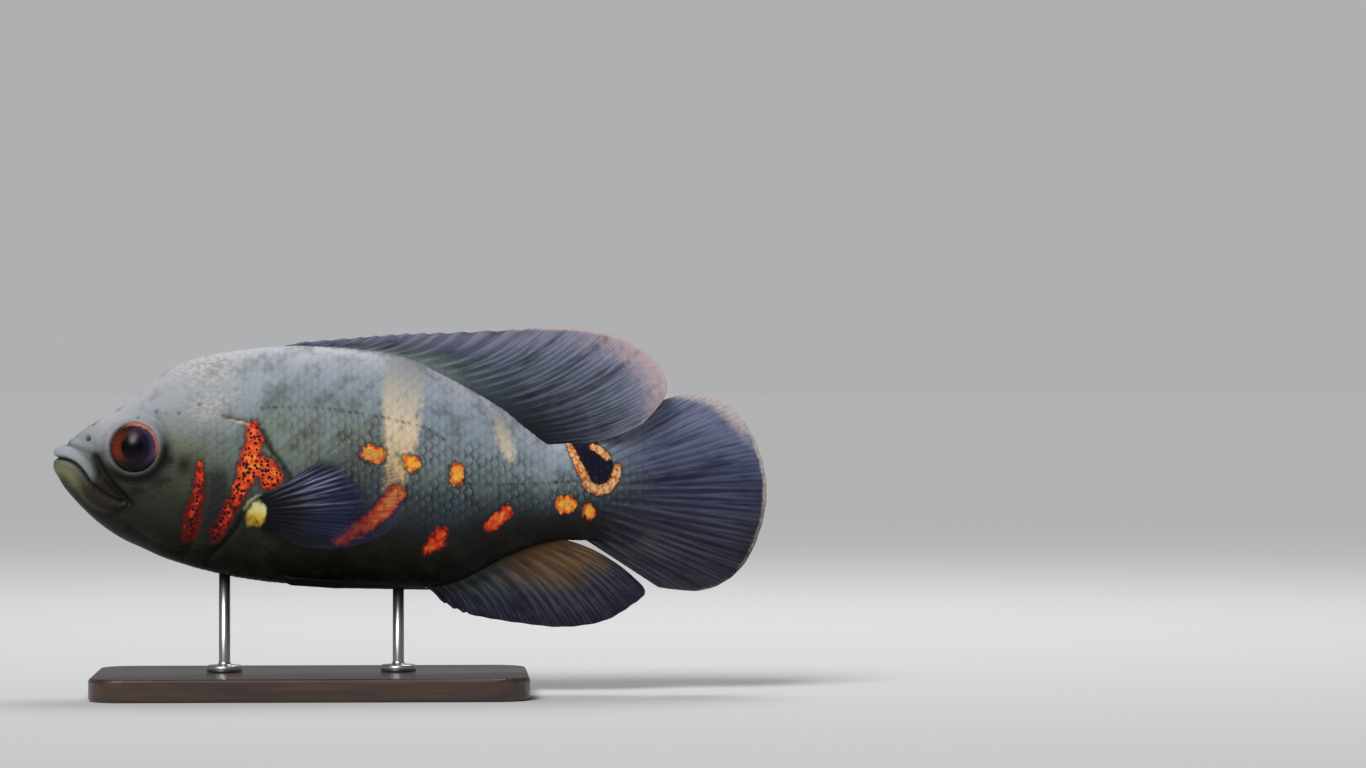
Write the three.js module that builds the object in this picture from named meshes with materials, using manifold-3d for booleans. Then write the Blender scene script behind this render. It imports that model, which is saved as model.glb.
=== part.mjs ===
// A life-size display model of an adult black oscar, a South American cichlid, on a plain stand.
//
// Frame, in millimetres: the head points along -X, the fish's left side faces -Y and its back is +Z.
// The floor is at Z = 0, and the origin is under the middle of the whole model.
// The fish is described by two distances: "along" is behind the tip of the snout, and "up" is above the
// lowest line of the belly. A third, "out", is from its middle plane, negative on its left side.
import * as THREE from "three";
import { mergeVertices } from "three/addons/utils/BufferGeometryUtils.js";
import Module from "manifold-3d";

// Driving dimensions of the whole model.
const TOTAL_LENGTH = 280;
const LIP_AHEAD = 0.7;
const SNOUT_X = (LIP_AHEAD - TOTAL_LENGTH) / 2;
const BELLY_Z = 42;
const HALF_WIDTH = 23;
const GAP = 0.3;

// The tail swings gently to the fish's right, between these two distances behind the snout.
const SWING_STARTS = 95;
const SWING_ENDS = 300;
const TAIL_SWING = 15;

// Side outline of the body, as [along, up], without its fins.
const BACK = [
  [0, 51.2], [0.4, 53.6], [2, 55.6], [6.6, 59], [18.4, 67], [26.2, 71.9], [34, 77.7], [41.8, 83.9],
  [49.6, 88.2], [57.4, 90.6], [73, 93.3], [94, 94.9], [112, 94.1], [127.7, 92.4], [139.4, 89.5],
  [151, 84], [162.8, 77.7], [174.6, 70.6], [186.3, 61.2], [195, 56.4], [204, 56.2], [213, 57.2],
  [222, 59.5],
];
const BELLY = [
  [0, 51.2], [0.3, 47], [1.2, 44.1], [2.7, 41], [6.6, 35.9], [10.5, 31.6], [18.4, 24.6], [26.2, 19.5],
  [34, 15.8], [41.8, 12.2], [49.6, 9.6], [57.4, 7.4], [73, 4], [90, 1.9], [112, 0.9], [132, 0.3],
  [145.3, 0], [151, 0.6], [158.9, 3], [166.8, 6.8], [174.6, 10.9], [182.4, 14.3], [190.2, 16.8],
  [200.7, 18.4], [213, 18.2], [222, 16],
];
// Where each cross-section is widest, as [along, up], and how wide, as [along, share of HALF_WIDTH].
const WIDEST = [
  [0, 51.2], [6, 48], [18, 46], [32, 46], [60, 44], [100, 45], [140, 44], [170, 41], [200, 37],
  [222, 37],
];
const BREADTH = [
  [0, 0], [0.5, 0.2], [2, 0.35], [5, 0.46], [10, 0.57], [18, 0.665], [31.6, 0.765], [50, 0.885],
  [73, 0.97], [95, 1], [115, 0.985], [140, 0.87], [160, 0.715], [180, 0.52], [200, 0.34], [213, 0.24],
  [222, 0.12], [228, 0.04],
];
// Roundness of a section's upper and lower half: 2 is an ellipse, less is sharper and more is fuller.
const UPPER_ROUNDNESS = [[0, 2.2], [30, 2.3], [80, 2], [150, 1.85], [213, 2.1]];
const LOWER_ROUNDNESS = [[0, 2.2], [30, 2], [80, 2.15], [150, 2.1], [213, 2.1]];

// Creases and ridges of the head, seen from the side, as [along, up].
const MOUTH = [
  [-6, 51.4], [0, 51.2], [4.7, 50.6], [8.6, 48.8], [11.7, 45.7], [14.4, 41.8], [18.4, 38.3],
  [23.4, 35.1], [27.7, 33.6],
];
const UPPER_LIP = [[-6, 54], [1, 53.7], [5.5, 53], [10, 51], [13.4, 47.6], [16.2, 43.8]];
const LOWER_LIP = [[-6, 47.6], [1.4, 47.4], [5.4, 46.4], [9.4, 42.6], [13, 37.8], [17.4, 34.4], [22.5, 32.4]];
const LIP_CREASE = [[1, 58], [6, 56.6], [10.8, 54.6], [15, 51.4], [17.4, 47.4], [18.4, 43.6]];
const CHEEK_CREASE = [[17.2, 50.4], [19.9, 44.9], [24.2, 39.4], [30.1, 33.2]];
const CHIN_CREASE = [[28, 30.6], [20, 29], [13, 32.6], [9, 37.4]];
const GILL_GROOVE = [[60.6, 60], [60.2, 52], [59.6, 42.2], [57.8, 30.5], [53.5, 16.8]];

// The eye and nostril, as [along, up], and their radii.
const EYE = [31.6, 55.2];
const EYE_RADIUS = 10.4;
const EYE_DEPTH = 5.6;
const EYE_SUNK = 2.6;
const ORBIT_RIM = 1;
const NOSTRIL = [13.9, 59.2];
const NOSTRIL_RADIUS = 0.9;

// Cuts between the body's parts, seen from the side: the rear edge of the gill cover and nape, the front
// edge of the gill cover, the hinge end of the jaw, and the two ends of the tail stalk.
const GILL_EDGE = [
  [80, 112], [80.1, 100.8], [77.4, 84], [75, 73], [76.6, 66.4], [81.6, 60.1], [84.4, 53.6],
  [88.6, 48.4], [91.6, 43], [88.3, 38.7], [80.8, 36.4], [75.4, 32.6], [71.3, 26], [66, 18.7],
  [58.4, 10.9], [52, -4], [50, -14],
];
const COVER_FRONT = [
  [92, 66.4], [79, 67.6], [69, 67.2], [63, 62.6], [60.4, 54], [59.6, 42.2], [57.8, 30.5], [53.5, 16.8],
  [47, 4], [44, -8],
];
const COVER_INNER = 9;
const JAW_REAR = [[31.6, 28.6], [36, 18], [38.6, 6], [39.4, -12]];
const STALK_FRONT = [[203.4, 90], [202.4, 56], [203.6, 37], [202.4, 18], [203.4, -12]];
const TAIL_ROOT = [[206, 84], [209.6, 60], [212.6, 48], [213.6, 37.8], [212.4, 27], [208.4, 15], [204, -8]];

// Median fins: where each ray grows from and where it ends, as [along, up], from the first ray to the last.
const DORSAL = {
  root: [
    [90.6, 95.3], [104.3, 94.6], [119.9, 93.4], [135.5, 90.8], [151, 84], [162.8, 77.7], [174.6, 70.6],
    [182.4, 64.2], [188.4, 59.6], [194.4, 56.2],
  ],
  edge: [
    [95.7, 96.6], [116.8, 98.3], [135.5, 99.9], [157, 100.6], [188.2, 102], [209.7, 101.3], [226, 96],
    [237, 86.7], [239.4, 76], [230.6, 64.6],
  ],
};
const DORSAL_SPINES = 12;
const DORSAL_RAYS = 28;
const DORSAL_LEAN = 8;
const ANAL = {
  root: [
    [144.9, 0], [150.3, 0.4], [155.8, 2], [164.8, 6], [174.6, 10.9], [183.2, 14.6], [191, 17],
    [196, 17.9], [200.2, 18.4],
  ],
  edge: [
    [150.6, -5.4], [157.6, -9.4], [166.8, -11.8], [182.4, -14.4], [198.8, -16], [214.8, -13.8],
    [226.1, -7.6], [231.6, -2.3], [226.4, 3.4],
  ],
};
const ANAL_SPINES = 3;
const ANAL_RAYS = 16;
const TAIL = {
  root: [[207.4, 55.4], [210.4, 49], [211.8, 43], [212, 37.2], [211.2, 31], [209.4, 25], [206.4, 19.4]],
  edge: [
    [238.4, 73.6], [250, 76.3], [263, 72.6], [272.4, 63], [278, 50.6], [280, 37.6], [278, 24],
    [272.4, 10.6], [264, 2], [252.7, -2], [237, -0.6],
  ],
};
const TAIL_RAYS = 16;

// The paired fins. The pectoral fin stands out from the side. The pelvic fin lies back along the belly.
const PECTORAL = {
  root: [[80.2, 35.6], [81.8, 29.4], [83.4, 23.4]],
  edge: [
    [115.6, 57.2], [126.4, 53.6], [133.4, 46.4], [136.3, 37.8], [134.9, 29], [129.4, 22.4],
    [119.6, 18], [108.4, 16], [97, 17],
  ],
};
const PECTORAL_RAYS = 12;
const PECTORAL_FLARE = 17;
const PELVIC_ROOT = 84;
const PELVIC_LENGTH = 64;
const PELVIC_INNER_LENGTH = 26;
const PELVIC_RAYS = 6;
const PELVIC_DROP = 7;

// Membranes and rays, as full thicknesses.
const MEMBRANE = 0.6;
const RAY_RELIEF = 0.7;
const ROOT_SUNK = 3;

// The stand: a flat base with rounded corners, and two rods that stand on round feet.
const BASE_LENGTH = 170;
const BASE_WIDTH = 100;
const BASE_THICKNESS = 9;
const BASE_CORNER = 14;
const BASE_EDGE = 1.5;
const ROD_RADIUS = 2.2;
const ROD_FOOT_RADIUS = 7;
const ROD_FOOT_HEIGHT = 2.6;
const FRONT_ROD = 66;
const REAR_ROD = 134;

const wasm = await Module();
wasm.setup();

const smoothstep = THREE.MathUtils.smoothstep;
const lerp = THREE.MathUtils.lerp;

// A smooth function through the points [x, y], which never swings past them.
function smoothCurve(points) {
  const x = points.map((p) => p[0]);
  const y = points.map((p) => p[1]);
  const rise = x.slice(1).map((next, i) => (y[i + 1] - y[i]) / (next - x[i]));
  const slope = x.map((_, i) => {
    if (i === 0) return rise[0];
    if (i === x.length - 1) return rise[i - 1];
    return rise[i - 1] * rise[i] <= 0 ? 0 : (2 * rise[i - 1] * rise[i]) / (rise[i - 1] + rise[i]);
  });
  return (at) => {
    if (at <= x[0]) return y[0];
    if (at >= x.at(-1)) return y.at(-1);
    const i = x.findIndex((_, k) => at < x[k + 1]);
    const width = x[i + 1] - x[i];
    const t = (at - x[i]) / width;
    return (
      y[i] * (1 + 2 * t) * (1 - t) ** 2 + slope[i] * width * t * (1 - t) ** 2 +
      y[i + 1] * t * t * (3 - 2 * t) + slope[i + 1] * width * t * t * (t - 1)
    );
  };
}

// The same for an outline that starts at the blunt snout, where it leaves the tip at a right angle.
function noseCurve(points) {
  const curve = smoothCurve(points.map(([along, value]) => [Math.sqrt(along), value]));
  return (along) => curve(Math.sqrt(Math.max(along, 0)));
}

const back = noseCurve(BACK);
const belly = noseCurve(BELLY);
const widest = noseCurve(WIDEST);
const breadth = noseCurve(BREADTH);
const upperRoundness = smoothCurve(UPPER_ROUNDNESS);
const lowerRoundness = smoothCurve(LOWER_ROUNDNESS);

// A smooth line through [along, up] points, as points that a distance can be measured to.
const sideCurve = (points) => new THREE.SplineCurve(points.map((p) => new THREE.Vector2(...p)));
const sideLine = (points, steps = 40) => sideCurve(points).getPoints(steps);

function distanceTo(line, along, up) {
  const at = new THREE.Vector2(along, up);
  let nearest = Infinity;
  for (let i = 1; i < line.length; i++) {
    const step = line[i].clone().sub(line[i - 1]);
    const t = THREE.MathUtils.clamp(at.clone().sub(line[i - 1]).dot(step) / step.lengthSq(), 0, 1);
    nearest = Math.min(nearest, at.distanceTo(line[i - 1].clone().addScaledVector(step, t)));
  }
  return nearest;
}

// What stands out of the head's smooth form, or is pressed into it, with its height and half-width.
const FEATURES = [
  [UPPER_LIP, 0.9, 2.3],
  [LOWER_LIP, 0.9, 2.9],
  [LIP_CREASE, -1.1, 1.4],
  [CHEEK_CREASE, -1.6, 1.5],
  [CHIN_CREASE, -0.9, 1.8],
  [GILL_GROOVE, -0.6, 1.8],
].map(([points, height, width]) => [sideLine(points), height, width]);

function headRelief(along, up) {
  const bell = (distance, width) => Math.exp(-((distance / width) ** 2));
  const lines = FEATURES.map(([line, height, width]) => height * bell(distanceTo(line, along, up), width));
  const fromEye = Math.hypot(along - EYE[0], up - EYE[1]);
  const rim = ORBIT_RIM * bell(fromEye - EYE_RADIUS - 0.6, 1.9);
  const cheek = 1.2 * bell(Math.hypot((along - 45) / 14, (up - 33) / 14), 1);
  const cover = smoothstep(along, 58, 84) * (1 - smoothstep(up, 58, 67)) * smoothstep(up, 10, 24);
  return lines.reduce((sum, one) => sum + one, rim + cheek + cover);
}

const swing = (along) => TAIL_SWING * smoothstep(along, SWING_STARTS, SWING_ENDS);

// A point of the model from the fish's own distances.
const inFrame = (along, out, up) => new THREE.Vector3(SNOUT_X + along, swing(along) + out, BELLY_Z + up);

// The smooth skin at a distance behind the snout. The angle is 0 on the back and grows towards the left side.
function bodyForm(along, angle) {
  const upper = Math.cos(angle) > 0;
  const power = 2 / (upper ? upperRoundness(along) : lowerRoundness(along));
  const out = -Math.sign(Math.sin(angle)) * HALF_WIDTH * breadth(along) * Math.abs(Math.sin(angle)) ** power;
  const middle = widest(along);
  const reach = (upper ? back(along) : belly(along)) - middle;
  return { along, out, up: middle + reach * Math.abs(Math.cos(angle)) ** power };
}

// The skin with its relief, moved outwards by grow.
function bodySkin(along, angle, relief, grow = 0) {
  const point = (a, turn) => {
    const form = bodyForm(a, turn);
    return new THREE.Vector3(form.along, form.out, form.up);
  };
  const here = point(along, angle);
  const step = 0.02 * Math.min(1, along + 0.1);
  const down = point(along, angle + 0.02).sub(point(along, angle - 0.02));
  const backwards = point(along + step, angle).sub(point(Math.max(along - step, 0), angle));
  const normal = along > 0 ? down.cross(backwards).normalize() : new THREE.Vector3(-1, 0, 0);
  here.addScaledVector(normal, relief(here.x, here.z) + grow);
  return inFrame(here.x, here.y, here.z);
}

// One closed body from a surface, which faces outwards.
function solid(geometry) {
  const bare = new THREE.BufferGeometry().setAttribute("position", geometry.getAttribute("position"));
  if (geometry.index) bare.setIndex(geometry.index);
  const merged = mergeVertices(bare, 1e-4);
  const vertProperties = merged.attributes.position.array;
  const triVerts = Uint32Array.from(merged.index.array);
  const made = new wasm.Manifold(new wasm.Mesh({ numProp: 3, vertProperties, triVerts }));
  if (made.volume() > 0) return made;
  return new wasm.Manifold(new wasm.Mesh({ numProp: 3, vertProperties, triVerts: triVerts.reverse() }));
}

// Only the largest closed surface of a solid, which drops scraps and fills sealed hollows.
const largest = (made) => made.decompose().reduce((a, b) => (b.volume() > a.volume() ? b : a));

function mesh(name, made, material) {
  const { vertProperties, triVerts } = largest(made).getMesh();
  const geometry = new THREE.BufferGeometry()
    .setAttribute("position", new THREE.BufferAttribute(vertProperties, 3))
    .setIndex(new THREE.BufferAttribute(triVerts, 1));
  geometry.computeVertexNormals();
  const node = new THREE.Mesh(geometry, material);
  node.name = name;
  return node;
}

// A length of the body, between two distances behind the snout, in rings that get wider apart.
function bodyLength({ from, to, rings, sectors, spread = 1, relief = () => 0, grow = 0 }) {
  const sphere = new THREE.SphereGeometry(1, sectors, rings);
  const { position, uv } = sphere.attributes;
  for (let i = 0; i < position.count; i++) {
    const ring = Math.round((1 - uv.getY(i)) * rings);
    const along = from + (to - from) * ((ring - 1) / (rings - 2)) ** spread;
    const angle = 2 * Math.PI * uv.getX(i);
    const pole = ring === 0 ? from : to;
    const middle = inFrame(pole, 0, widest(pole));
    const place = ring === 0 || ring === rings ? middle : bodySkin(along, angle, relief, grow);
    position.setXYZ(i, ...place);
  }
  return solid(sphere);
}

// Everything on one side of a line that is drawn on the side view, right through the fish.
const FAR = 400;
function sideOf(points, offset, corners) {
  const curve = sideCurve(points);
  const steps = points.length * 3;
  const outline = corners.map((corner) => new THREE.Vector2(...corner));
  for (let i = 0; i <= steps; i++) {
    const way = curve.getTangent(i / steps);
    outline.push(curve.getPoint(i / steps).add(new THREE.Vector2(-way.y, way.x).multiplyScalar(offset)));
  }
  const block = new THREE.ExtrudeGeometry(new THREE.Shape(outline), { depth: FAR, bevelEnabled: false });
  block.translate(0, 0, -FAR / 2).rotateX(Math.PI / 2).translate(SNOUT_X, 0, BELLY_Z);
  return solid(block);
}
const FRONT_CORNERS = [[-FAR, -FAR], [-FAR, FAR]];
const REAR_CORNERS = [[FAR, -FAR], [FAR, FAR]];
// The lines run downwards, so a positive offset is towards the tail.
const aheadOf = (line, gap = GAP / 2) => sideOf(line, -gap, FRONT_CORNERS);
const behind = (line, gap = GAP / 2) => sideOf(line, gap, REAR_CORNERS);

// A thin sheet with a thickness, split into triangles alike on both faces. place gives the point of its
// middle surface at (across the rays, along the rays), each from 0 to 1, and thick its full thickness there.
function sheet(columns, rows, place, thick) {
  const flat = new THREE.PlaneGeometry(1, 1, columns, rows);
  const { position, uv } = flat.attributes;
  const count = position.count;
  const points = new Float32Array(count * 6);
  const step = 1e-3;
  for (let i = 0; i < count; i++) {
    const s = uv.getX(i);
    const t = uv.getY(i);
    const across = place(s + step, t).sub(place(s - step, t));
    const outwards = place(s, t + step).sub(place(s, t - step));
    const half = across.cross(outwards).normalize().multiplyScalar(thick(s, t) / 2);
    const middle = place(s, t);
    points.set([...middle.clone().add(half)], i * 3);
    points.set([...middle.sub(half)], (count + i) * 3);
  }
  const faces = [...flat.index.array];
  const index = [...faces];
  for (let i = 0; i < faces.length; i += 3) {
    index.push(faces[i] + count, faces[i + 2] + count, faces[i + 1] + count);
  }
  const wide = columns + 1;
  const rim = [];
  for (let c = 0; c < columns; c++) rim.push([c, c + 1], [rows * wide + c + 1, rows * wide + c]);
  for (let r = 0; r < rows; r++) {
    rim.push([(r + 1) * wide, r * wide], [r * wide + columns, (r + 1) * wide + columns]);
  }
  for (const [a, b] of rim) index.push(a, b, b + count, a, b + count, a + count);
  const geometry = new THREE.BufferGeometry().setAttribute("position", new THREE.BufferAttribute(points, 3));
  return solid(geometry.setIndex(index));
}

// A line through [along, up] points that can be followed evenly from 0 to 1, and a little past its ends.
function rayEnds(points) {
  const curve = sideCurve(points);
  return (s) => {
    const end = THREE.MathUtils.clamp(s, 0, 1);
    return curve.getPoint(end).addScaledVector(curve.getTangent(end), (s - end) * points.length * 10);
  };
}

// Each ray is two columns wide, with its ridge between them, and its tip stands past the membrane's edge.
const onRay = (s, rays) => 1 - Math.abs(2 * ((s * rays) % 1) - 1);
const ridge = (s, t, rays) => RAY_RELIEF * onRay(s, rays) * smoothstep(t, 0.12, 0.3) * (1 - 0.5 * t);

const upright = () => 0;
function medianFin({ root, edge, rays, spines = 0, rows, sunk, bow, thickRoot, lean = upright, fleshy = 0.3 }) {
  const rootAt = rayEnds(root);
  const edgeAt = rayEnds(edge);
  const place = (s, t) => {
    const start = rootAt(s);
    const end = edgeAt(s);
    const ray = end.clone().sub(start);
    const length = ray.length();
    const spine = s * rays < spines ? 1 : 0.35;
    const notch = (1 - onRay(s, rays)) * spine * 1.1;
    const reach = (t * (length + sunk - notch) - sunk) / length;
    const side = new THREE.Vector2(-ray.y, ray.x).multiplyScalar(2 * bow * Math.max(reach, 0) * (1 - reach));
    const at = start.addScaledVector(ray, reach).add(side);
    return inFrame(at.x, lean(s, Math.max(reach, 0) * length), at.y);
  };
  const thick = (s, t) => {
    const flesh = (thickRoot - MEMBRANE) * (1 - smoothstep(t, 0.05, fleshy)) ** 2;
    return MEMBRANE + flesh + ridge(s, t, rays);
  };
  return sheet(rays * 2, rows, place, thick);
}

// A pectoral fin, fanned out from behind the gill cover. side is -1 on the fish's left and 1 on its right.
function pectoralFin(side) {
  const rootAt = rayEnds(PECTORAL.root);
  const edgeAt = rayEnds(PECTORAL.edge);
  const sideAt = HALF_WIDTH - 1.5;
  const place = (s, t) => {
    const start = rootAt(s);
    const end = edgeAt(s);
    const ray = end.clone().sub(start);
    const length = ray.length();
    const notch = (1 - onRay(s, PECTORAL_RAYS)) * 0.5;
    const reach = (t * (length + ROOT_SUNK - notch) - ROOT_SUNK) / length;
    const at = start.addScaledVector(ray, reach);
    const away = reach * length;
    const cup = 2.2 * Math.sin(Math.PI * THREE.MathUtils.clamp(s, 0, 1)) * Math.max(reach, 0);
    const twist = -5 * (1 - s) * Math.max(reach, 0);
    const out = sideAt + (away * PECTORAL_FLARE) / 50 - 0.0022 * away * away + cup + twist;
    return inFrame(at.x, side * out, at.y);
  };
  const thick = (s, t) => MEMBRANE + 2.6 * (1 - smoothstep(t, 0.06, 0.3)) + ridge(s, t, PECTORAL_RAYS);
  return sheet(PECTORAL_RAYS * 2, 7, place, thick);
}

// A pelvic fin, folded back under the belly, lifting clear of it towards the tip of its long outer ray.
function pelvicFin(side) {
  const place = (s, t) => {
    const length = lerp(PELVIC_INNER_LENGTH, PELVIC_LENGTH, Math.max(s, 0) ** 1.3);
    const notch = (1 - onRay(s, PELVIC_RAYS)) * 0.8;
    const away = t * (length - notch);
    const fromMiddle = lerp(lerp(0.2, 0.26, t), lerp(0.42, 0.5, t), s);
    const drop = PELVIC_DROP * (Math.max(away, 0) / PELVIC_LENGTH) ** 2;
    const lift = lerp(-ROOT_SUNK, 1.2, smoothstep(away, 0, 9)) + drop;
    return bodySkin(PELVIC_ROOT + away, Math.PI + side * fromMiddle, () => 0, lift);
  };
  const thick = (s, t) => MEMBRANE + 1.6 * (1 - smoothstep(t, 0.02, 0.3)) + ridge(s, t, PELVIC_RAYS);
  return sheet(PELVIC_RAYS * 2, 9, place, thick);
}

// The eye's place on one side of the head, and the way it faces.
function eyeSeat(side) {
  const angle = (() => {
    const middle = widest(EYE[0]);
    const share = (EYE[1] - middle) / (back(EYE[0]) - middle);
    return Math.acos(share ** (upperRoundness(EYE[0]) / 2));
  })();
  const skin = (a, turn) => bodySkin(a, turn, () => 0);
  const at = skin(EYE[0], angle);
  const down = skin(EYE[0], angle + 0.02).sub(skin(EYE[0], angle - 0.02));
  const backwards = skin(EYE[0] + 0.1, angle).sub(skin(EYE[0] - 0.1, angle));
  const facing = down.cross(backwards).normalize();
  return side < 0 ? { at, facing } : { at: at.setY(-at.y), facing: facing.setY(-facing.y) };
}

// The eyeball is a flattened ball, and its socket the same form with a gap all round.
function eyeball(side, grow = 0) {
  const { at, facing } = eyeSeat(side);
  const ball = new THREE.SphereGeometry(1, 24, 12);
  ball.scale(EYE_RADIUS + grow, EYE_DEPTH + grow, EYE_RADIUS + grow);
  ball.applyQuaternion(new THREE.Quaternion().setFromUnitVectors(new THREE.Vector3(0, 1, 0), facing));
  return solid(ball.translate(...at.addScaledVector(facing, -EYE_SUNK)));
}

// A short pit, bored through the skin.
function nostril(side) {
  const pit = new THREE.CylinderGeometry(NOSTRIL_RADIUS * 1.2, NOSTRIL_RADIUS, 6, 10);
  const share = (NOSTRIL[1] - widest(NOSTRIL[0])) / (back(NOSTRIL[0]) - widest(NOSTRIL[0]));
  const at = bodySkin(NOSTRIL[0], Math.acos(share ** (upperRoundness(NOSTRIL[0]) / 2)), headRelief, 1);
  const facing = new THREE.Vector3(-0.45, -0.6, 0.66).normalize();
  pit.applyQuaternion(new THREE.Quaternion().setFromUnitVectors(new THREE.Vector3(0, 1, 0), facing));
  pit.translate(...at);
  if (side > 0) pit.scale(1, -1, 1);
  return solid(pit);
}

// A block that holds everything further out than a distance from the middle plane, on one side.
function sideBlock(side, from) {
  const block = new THREE.BoxGeometry(FAR, FAR, FAR);
  return solid(block.translate(0, side * (from + FAR / 2), 0));
}

// A rod with a round foot, up to the belly.
function rod(along) {
  const foot = BASE_THICKNESS + GAP;
  const top = BELLY_Z + belly(along) + 6;
  const footTop = foot + ROD_FOOT_HEIGHT;
  const profile = [
    [0, foot], [ROD_FOOT_RADIUS, foot], [ROD_FOOT_RADIUS, footTop - 1], [ROD_FOOT_RADIUS - 1, footTop],
    [ROD_RADIUS + 1, footTop], [ROD_RADIUS, footTop + 1.4], [ROD_RADIUS, top], [0, top],
];
  const lathe = new THREE.LatheGeometry(profile.map((p) => new THREE.Vector2(...p)), 20);
  lathe.rotateX(Math.PI / 2);
  return solid(lathe.translate(SNOUT_X + along, swing(along), 0));
}

function standBase() {
  const [x, y] = [BASE_LENGTH / 2 - BASE_EDGE, BASE_WIDTH / 2 - BASE_EDGE];
  const r = BASE_CORNER - BASE_EDGE;
  const outline = new THREE.Shape();
  outline.absarc(x - r, y - r, r, 0, Math.PI / 2);
  outline.absarc(r - x, y - r, r, Math.PI / 2, Math.PI);
  outline.absarc(r - x, r - y, r, Math.PI, 1.5 * Math.PI);
  outline.absarc(x - r, r - y, r, 1.5 * Math.PI, 2 * Math.PI);
  const plate = new THREE.ExtrudeGeometry(outline, {
    depth: BASE_THICKNESS - 2 * BASE_EDGE,
    bevelSize: BASE_EDGE,
    bevelThickness: BASE_EDGE,
    bevelSegments: 1,
    curveSegments: 6,
  });
  return solid(plate.translate(SNOUT_X + (FRONT_ROD + REAR_ROD) / 2, 0, BASE_EDGE));
}

// The body: one skin, parted along the gill cover, the jaw, and both ends of the tail stalk.
const wholeHead = bodyLength({ from: 0, to: 112, rings: 42, sectors: 46, spread: 1.6, relief: headRelief });
const wholeTrunk = bodyLength({ from: 40, to: 228, rings: 32, sectors: 36 });
const grownTrunk = bodyLength({ from: 40, to: 228, rings: 32, sectors: 36, grow: GAP });
const grownHead = bodyLength({ from: 20, to: 112, rings: 34, sectors: 40, grow: GAP, relief: headRelief });

const jawLine = [...MOUTH, ...JAW_REAR];
const jawCorners = [[-6, -FAR]];
const jawBlock = sideOf(jawLine, -GAP / 2, jawCorners);
const jawRoom = sideOf(jawLine, GAP / 2, jawCorners);
const aheadOfGill = wholeHead.intersect(aheadOf(GILL_EDGE));
const coverBlock = behind(COVER_FRONT);
const coverRoom = behind(COVER_FRONT, -GAP / 2);
let head = aheadOfGill.subtract(jawRoom);
for (const side of [-1, 1]) {
  head = head.subtract(coverRoom.intersect(sideBlock(side, COVER_INNER - GAP)));
  head = head.subtract(eyeball(side, GAP)).subtract(nostril(side));
}
const gillCover = (side) => aheadOfGill.intersect(coverBlock).intersect(sideBlock(side, COVER_INNER));
const trunk = wholeTrunk.intersect(behind(GILL_EDGE)).intersect(aheadOf(STALK_FRONT));
const tailStalk = wholeTrunk.intersect(behind(STALK_FRONT)).intersect(aheadOf(TAIL_ROOT));

// The fins. Each is cut to the skin that it grows from.
const dorsalLean = (s, away) => -DORSAL_LEAN * smoothstep(s, 0.35, 1) * (away / 50);
const dorsalFin = medianFin({
  ...DORSAL,
  rays: DORSAL_RAYS,
  spines: DORSAL_SPINES,
  rows: 6,
  sunk: ROOT_SUNK,
  bow: -0.16,
  thickRoot: 4,
  lean: dorsalLean,
});
const analFin = medianFin({
  ...ANAL,
  rays: ANAL_RAYS,
  spines: ANAL_SPINES,
  rows: 6,
  sunk: ROOT_SUNK,
  bow: 0.14,
  thickRoot: 4,
});
const tailBlade = medianFin({
  ...TAIL,
  rays: TAIL_RAYS,
  rows: 8,
  sunk: 8,
  bow: 0,
  thickRoot: 2.4,
  fleshy: 0.5,
});
const tailFin = wholeTrunk.add(tailBlade).intersect(behind(TAIL_ROOT));

const skinColour = new THREE.MeshStandardMaterial({ color: 0x68767a, roughness: 0.42, metalness: 0 });
const jawColour = new THREE.MeshStandardMaterial({ color: 0x7b8570, roughness: 0.42, metalness: 0 });
const coverColour = new THREE.MeshStandardMaterial({ color: 0x5c6663, roughness: 0.4, metalness: 0 });
const finColour = new THREE.MeshStandardMaterial({ color: 0x454b63, roughness: 0.5, metalness: 0 });
const eyeColour = new THREE.MeshStandardMaterial({ color: 0x6b2f16, roughness: 0.1, metalness: 0 });
const baseColour = new THREE.MeshStandardMaterial({ color: 0x2b2421, roughness: 0.45, metalness: 0 });
const rodColour = new THREE.MeshStandardMaterial({ color: 0xb9bcc0, roughness: 0.3, metalness: 1 });

const oscar = new THREE.Group();
oscar.add(
  mesh("head", head, skinColour),
  mesh("lower_jaw", aheadOfGill.intersect(jawBlock), jawColour),
  mesh("trunk", trunk, skinColour),
  mesh("tail_stalk", tailStalk, skinColour),
  mesh("dorsal_fin", dorsalFin.subtract(grownTrunk), finColour),
  mesh("anal_fin", analFin.subtract(grownTrunk), finColour),
  mesh("tail_fin", tailFin, finColour),
  mesh("stand_base", standBase(), baseColour),
  mesh("stand_rod_front", rod(FRONT_ROD).subtract(grownTrunk), rodColour),
  mesh("stand_rod_rear", rod(REAR_ROD).subtract(grownTrunk), rodColour),
);
for (const [side, name] of [[-1, "left"], [1, "right"]]) {
  oscar.add(
    mesh(`gill_cover_${name}`, gillCover(side), coverColour),
    mesh(`eye_${name}`, eyeball(side), eyeColour),
    mesh(`pectoral_fin_${name}`, pectoralFin(side).subtract(grownTrunk).subtract(grownHead), finColour),
    mesh(`pelvic_fin_${name}`, pelvicFin(side).subtract(grownTrunk), finColour),
  );
}

export default oscar;
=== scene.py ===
import bmesh
import bpy
import numpy as np
from mathutils import Matrix, Vector


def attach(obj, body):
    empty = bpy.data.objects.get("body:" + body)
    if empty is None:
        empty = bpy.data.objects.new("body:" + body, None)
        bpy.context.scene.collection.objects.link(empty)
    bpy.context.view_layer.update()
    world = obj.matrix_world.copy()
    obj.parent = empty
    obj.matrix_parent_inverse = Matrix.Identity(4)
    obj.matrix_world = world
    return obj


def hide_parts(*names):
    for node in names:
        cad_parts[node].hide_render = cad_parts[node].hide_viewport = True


MM = 0.001

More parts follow.
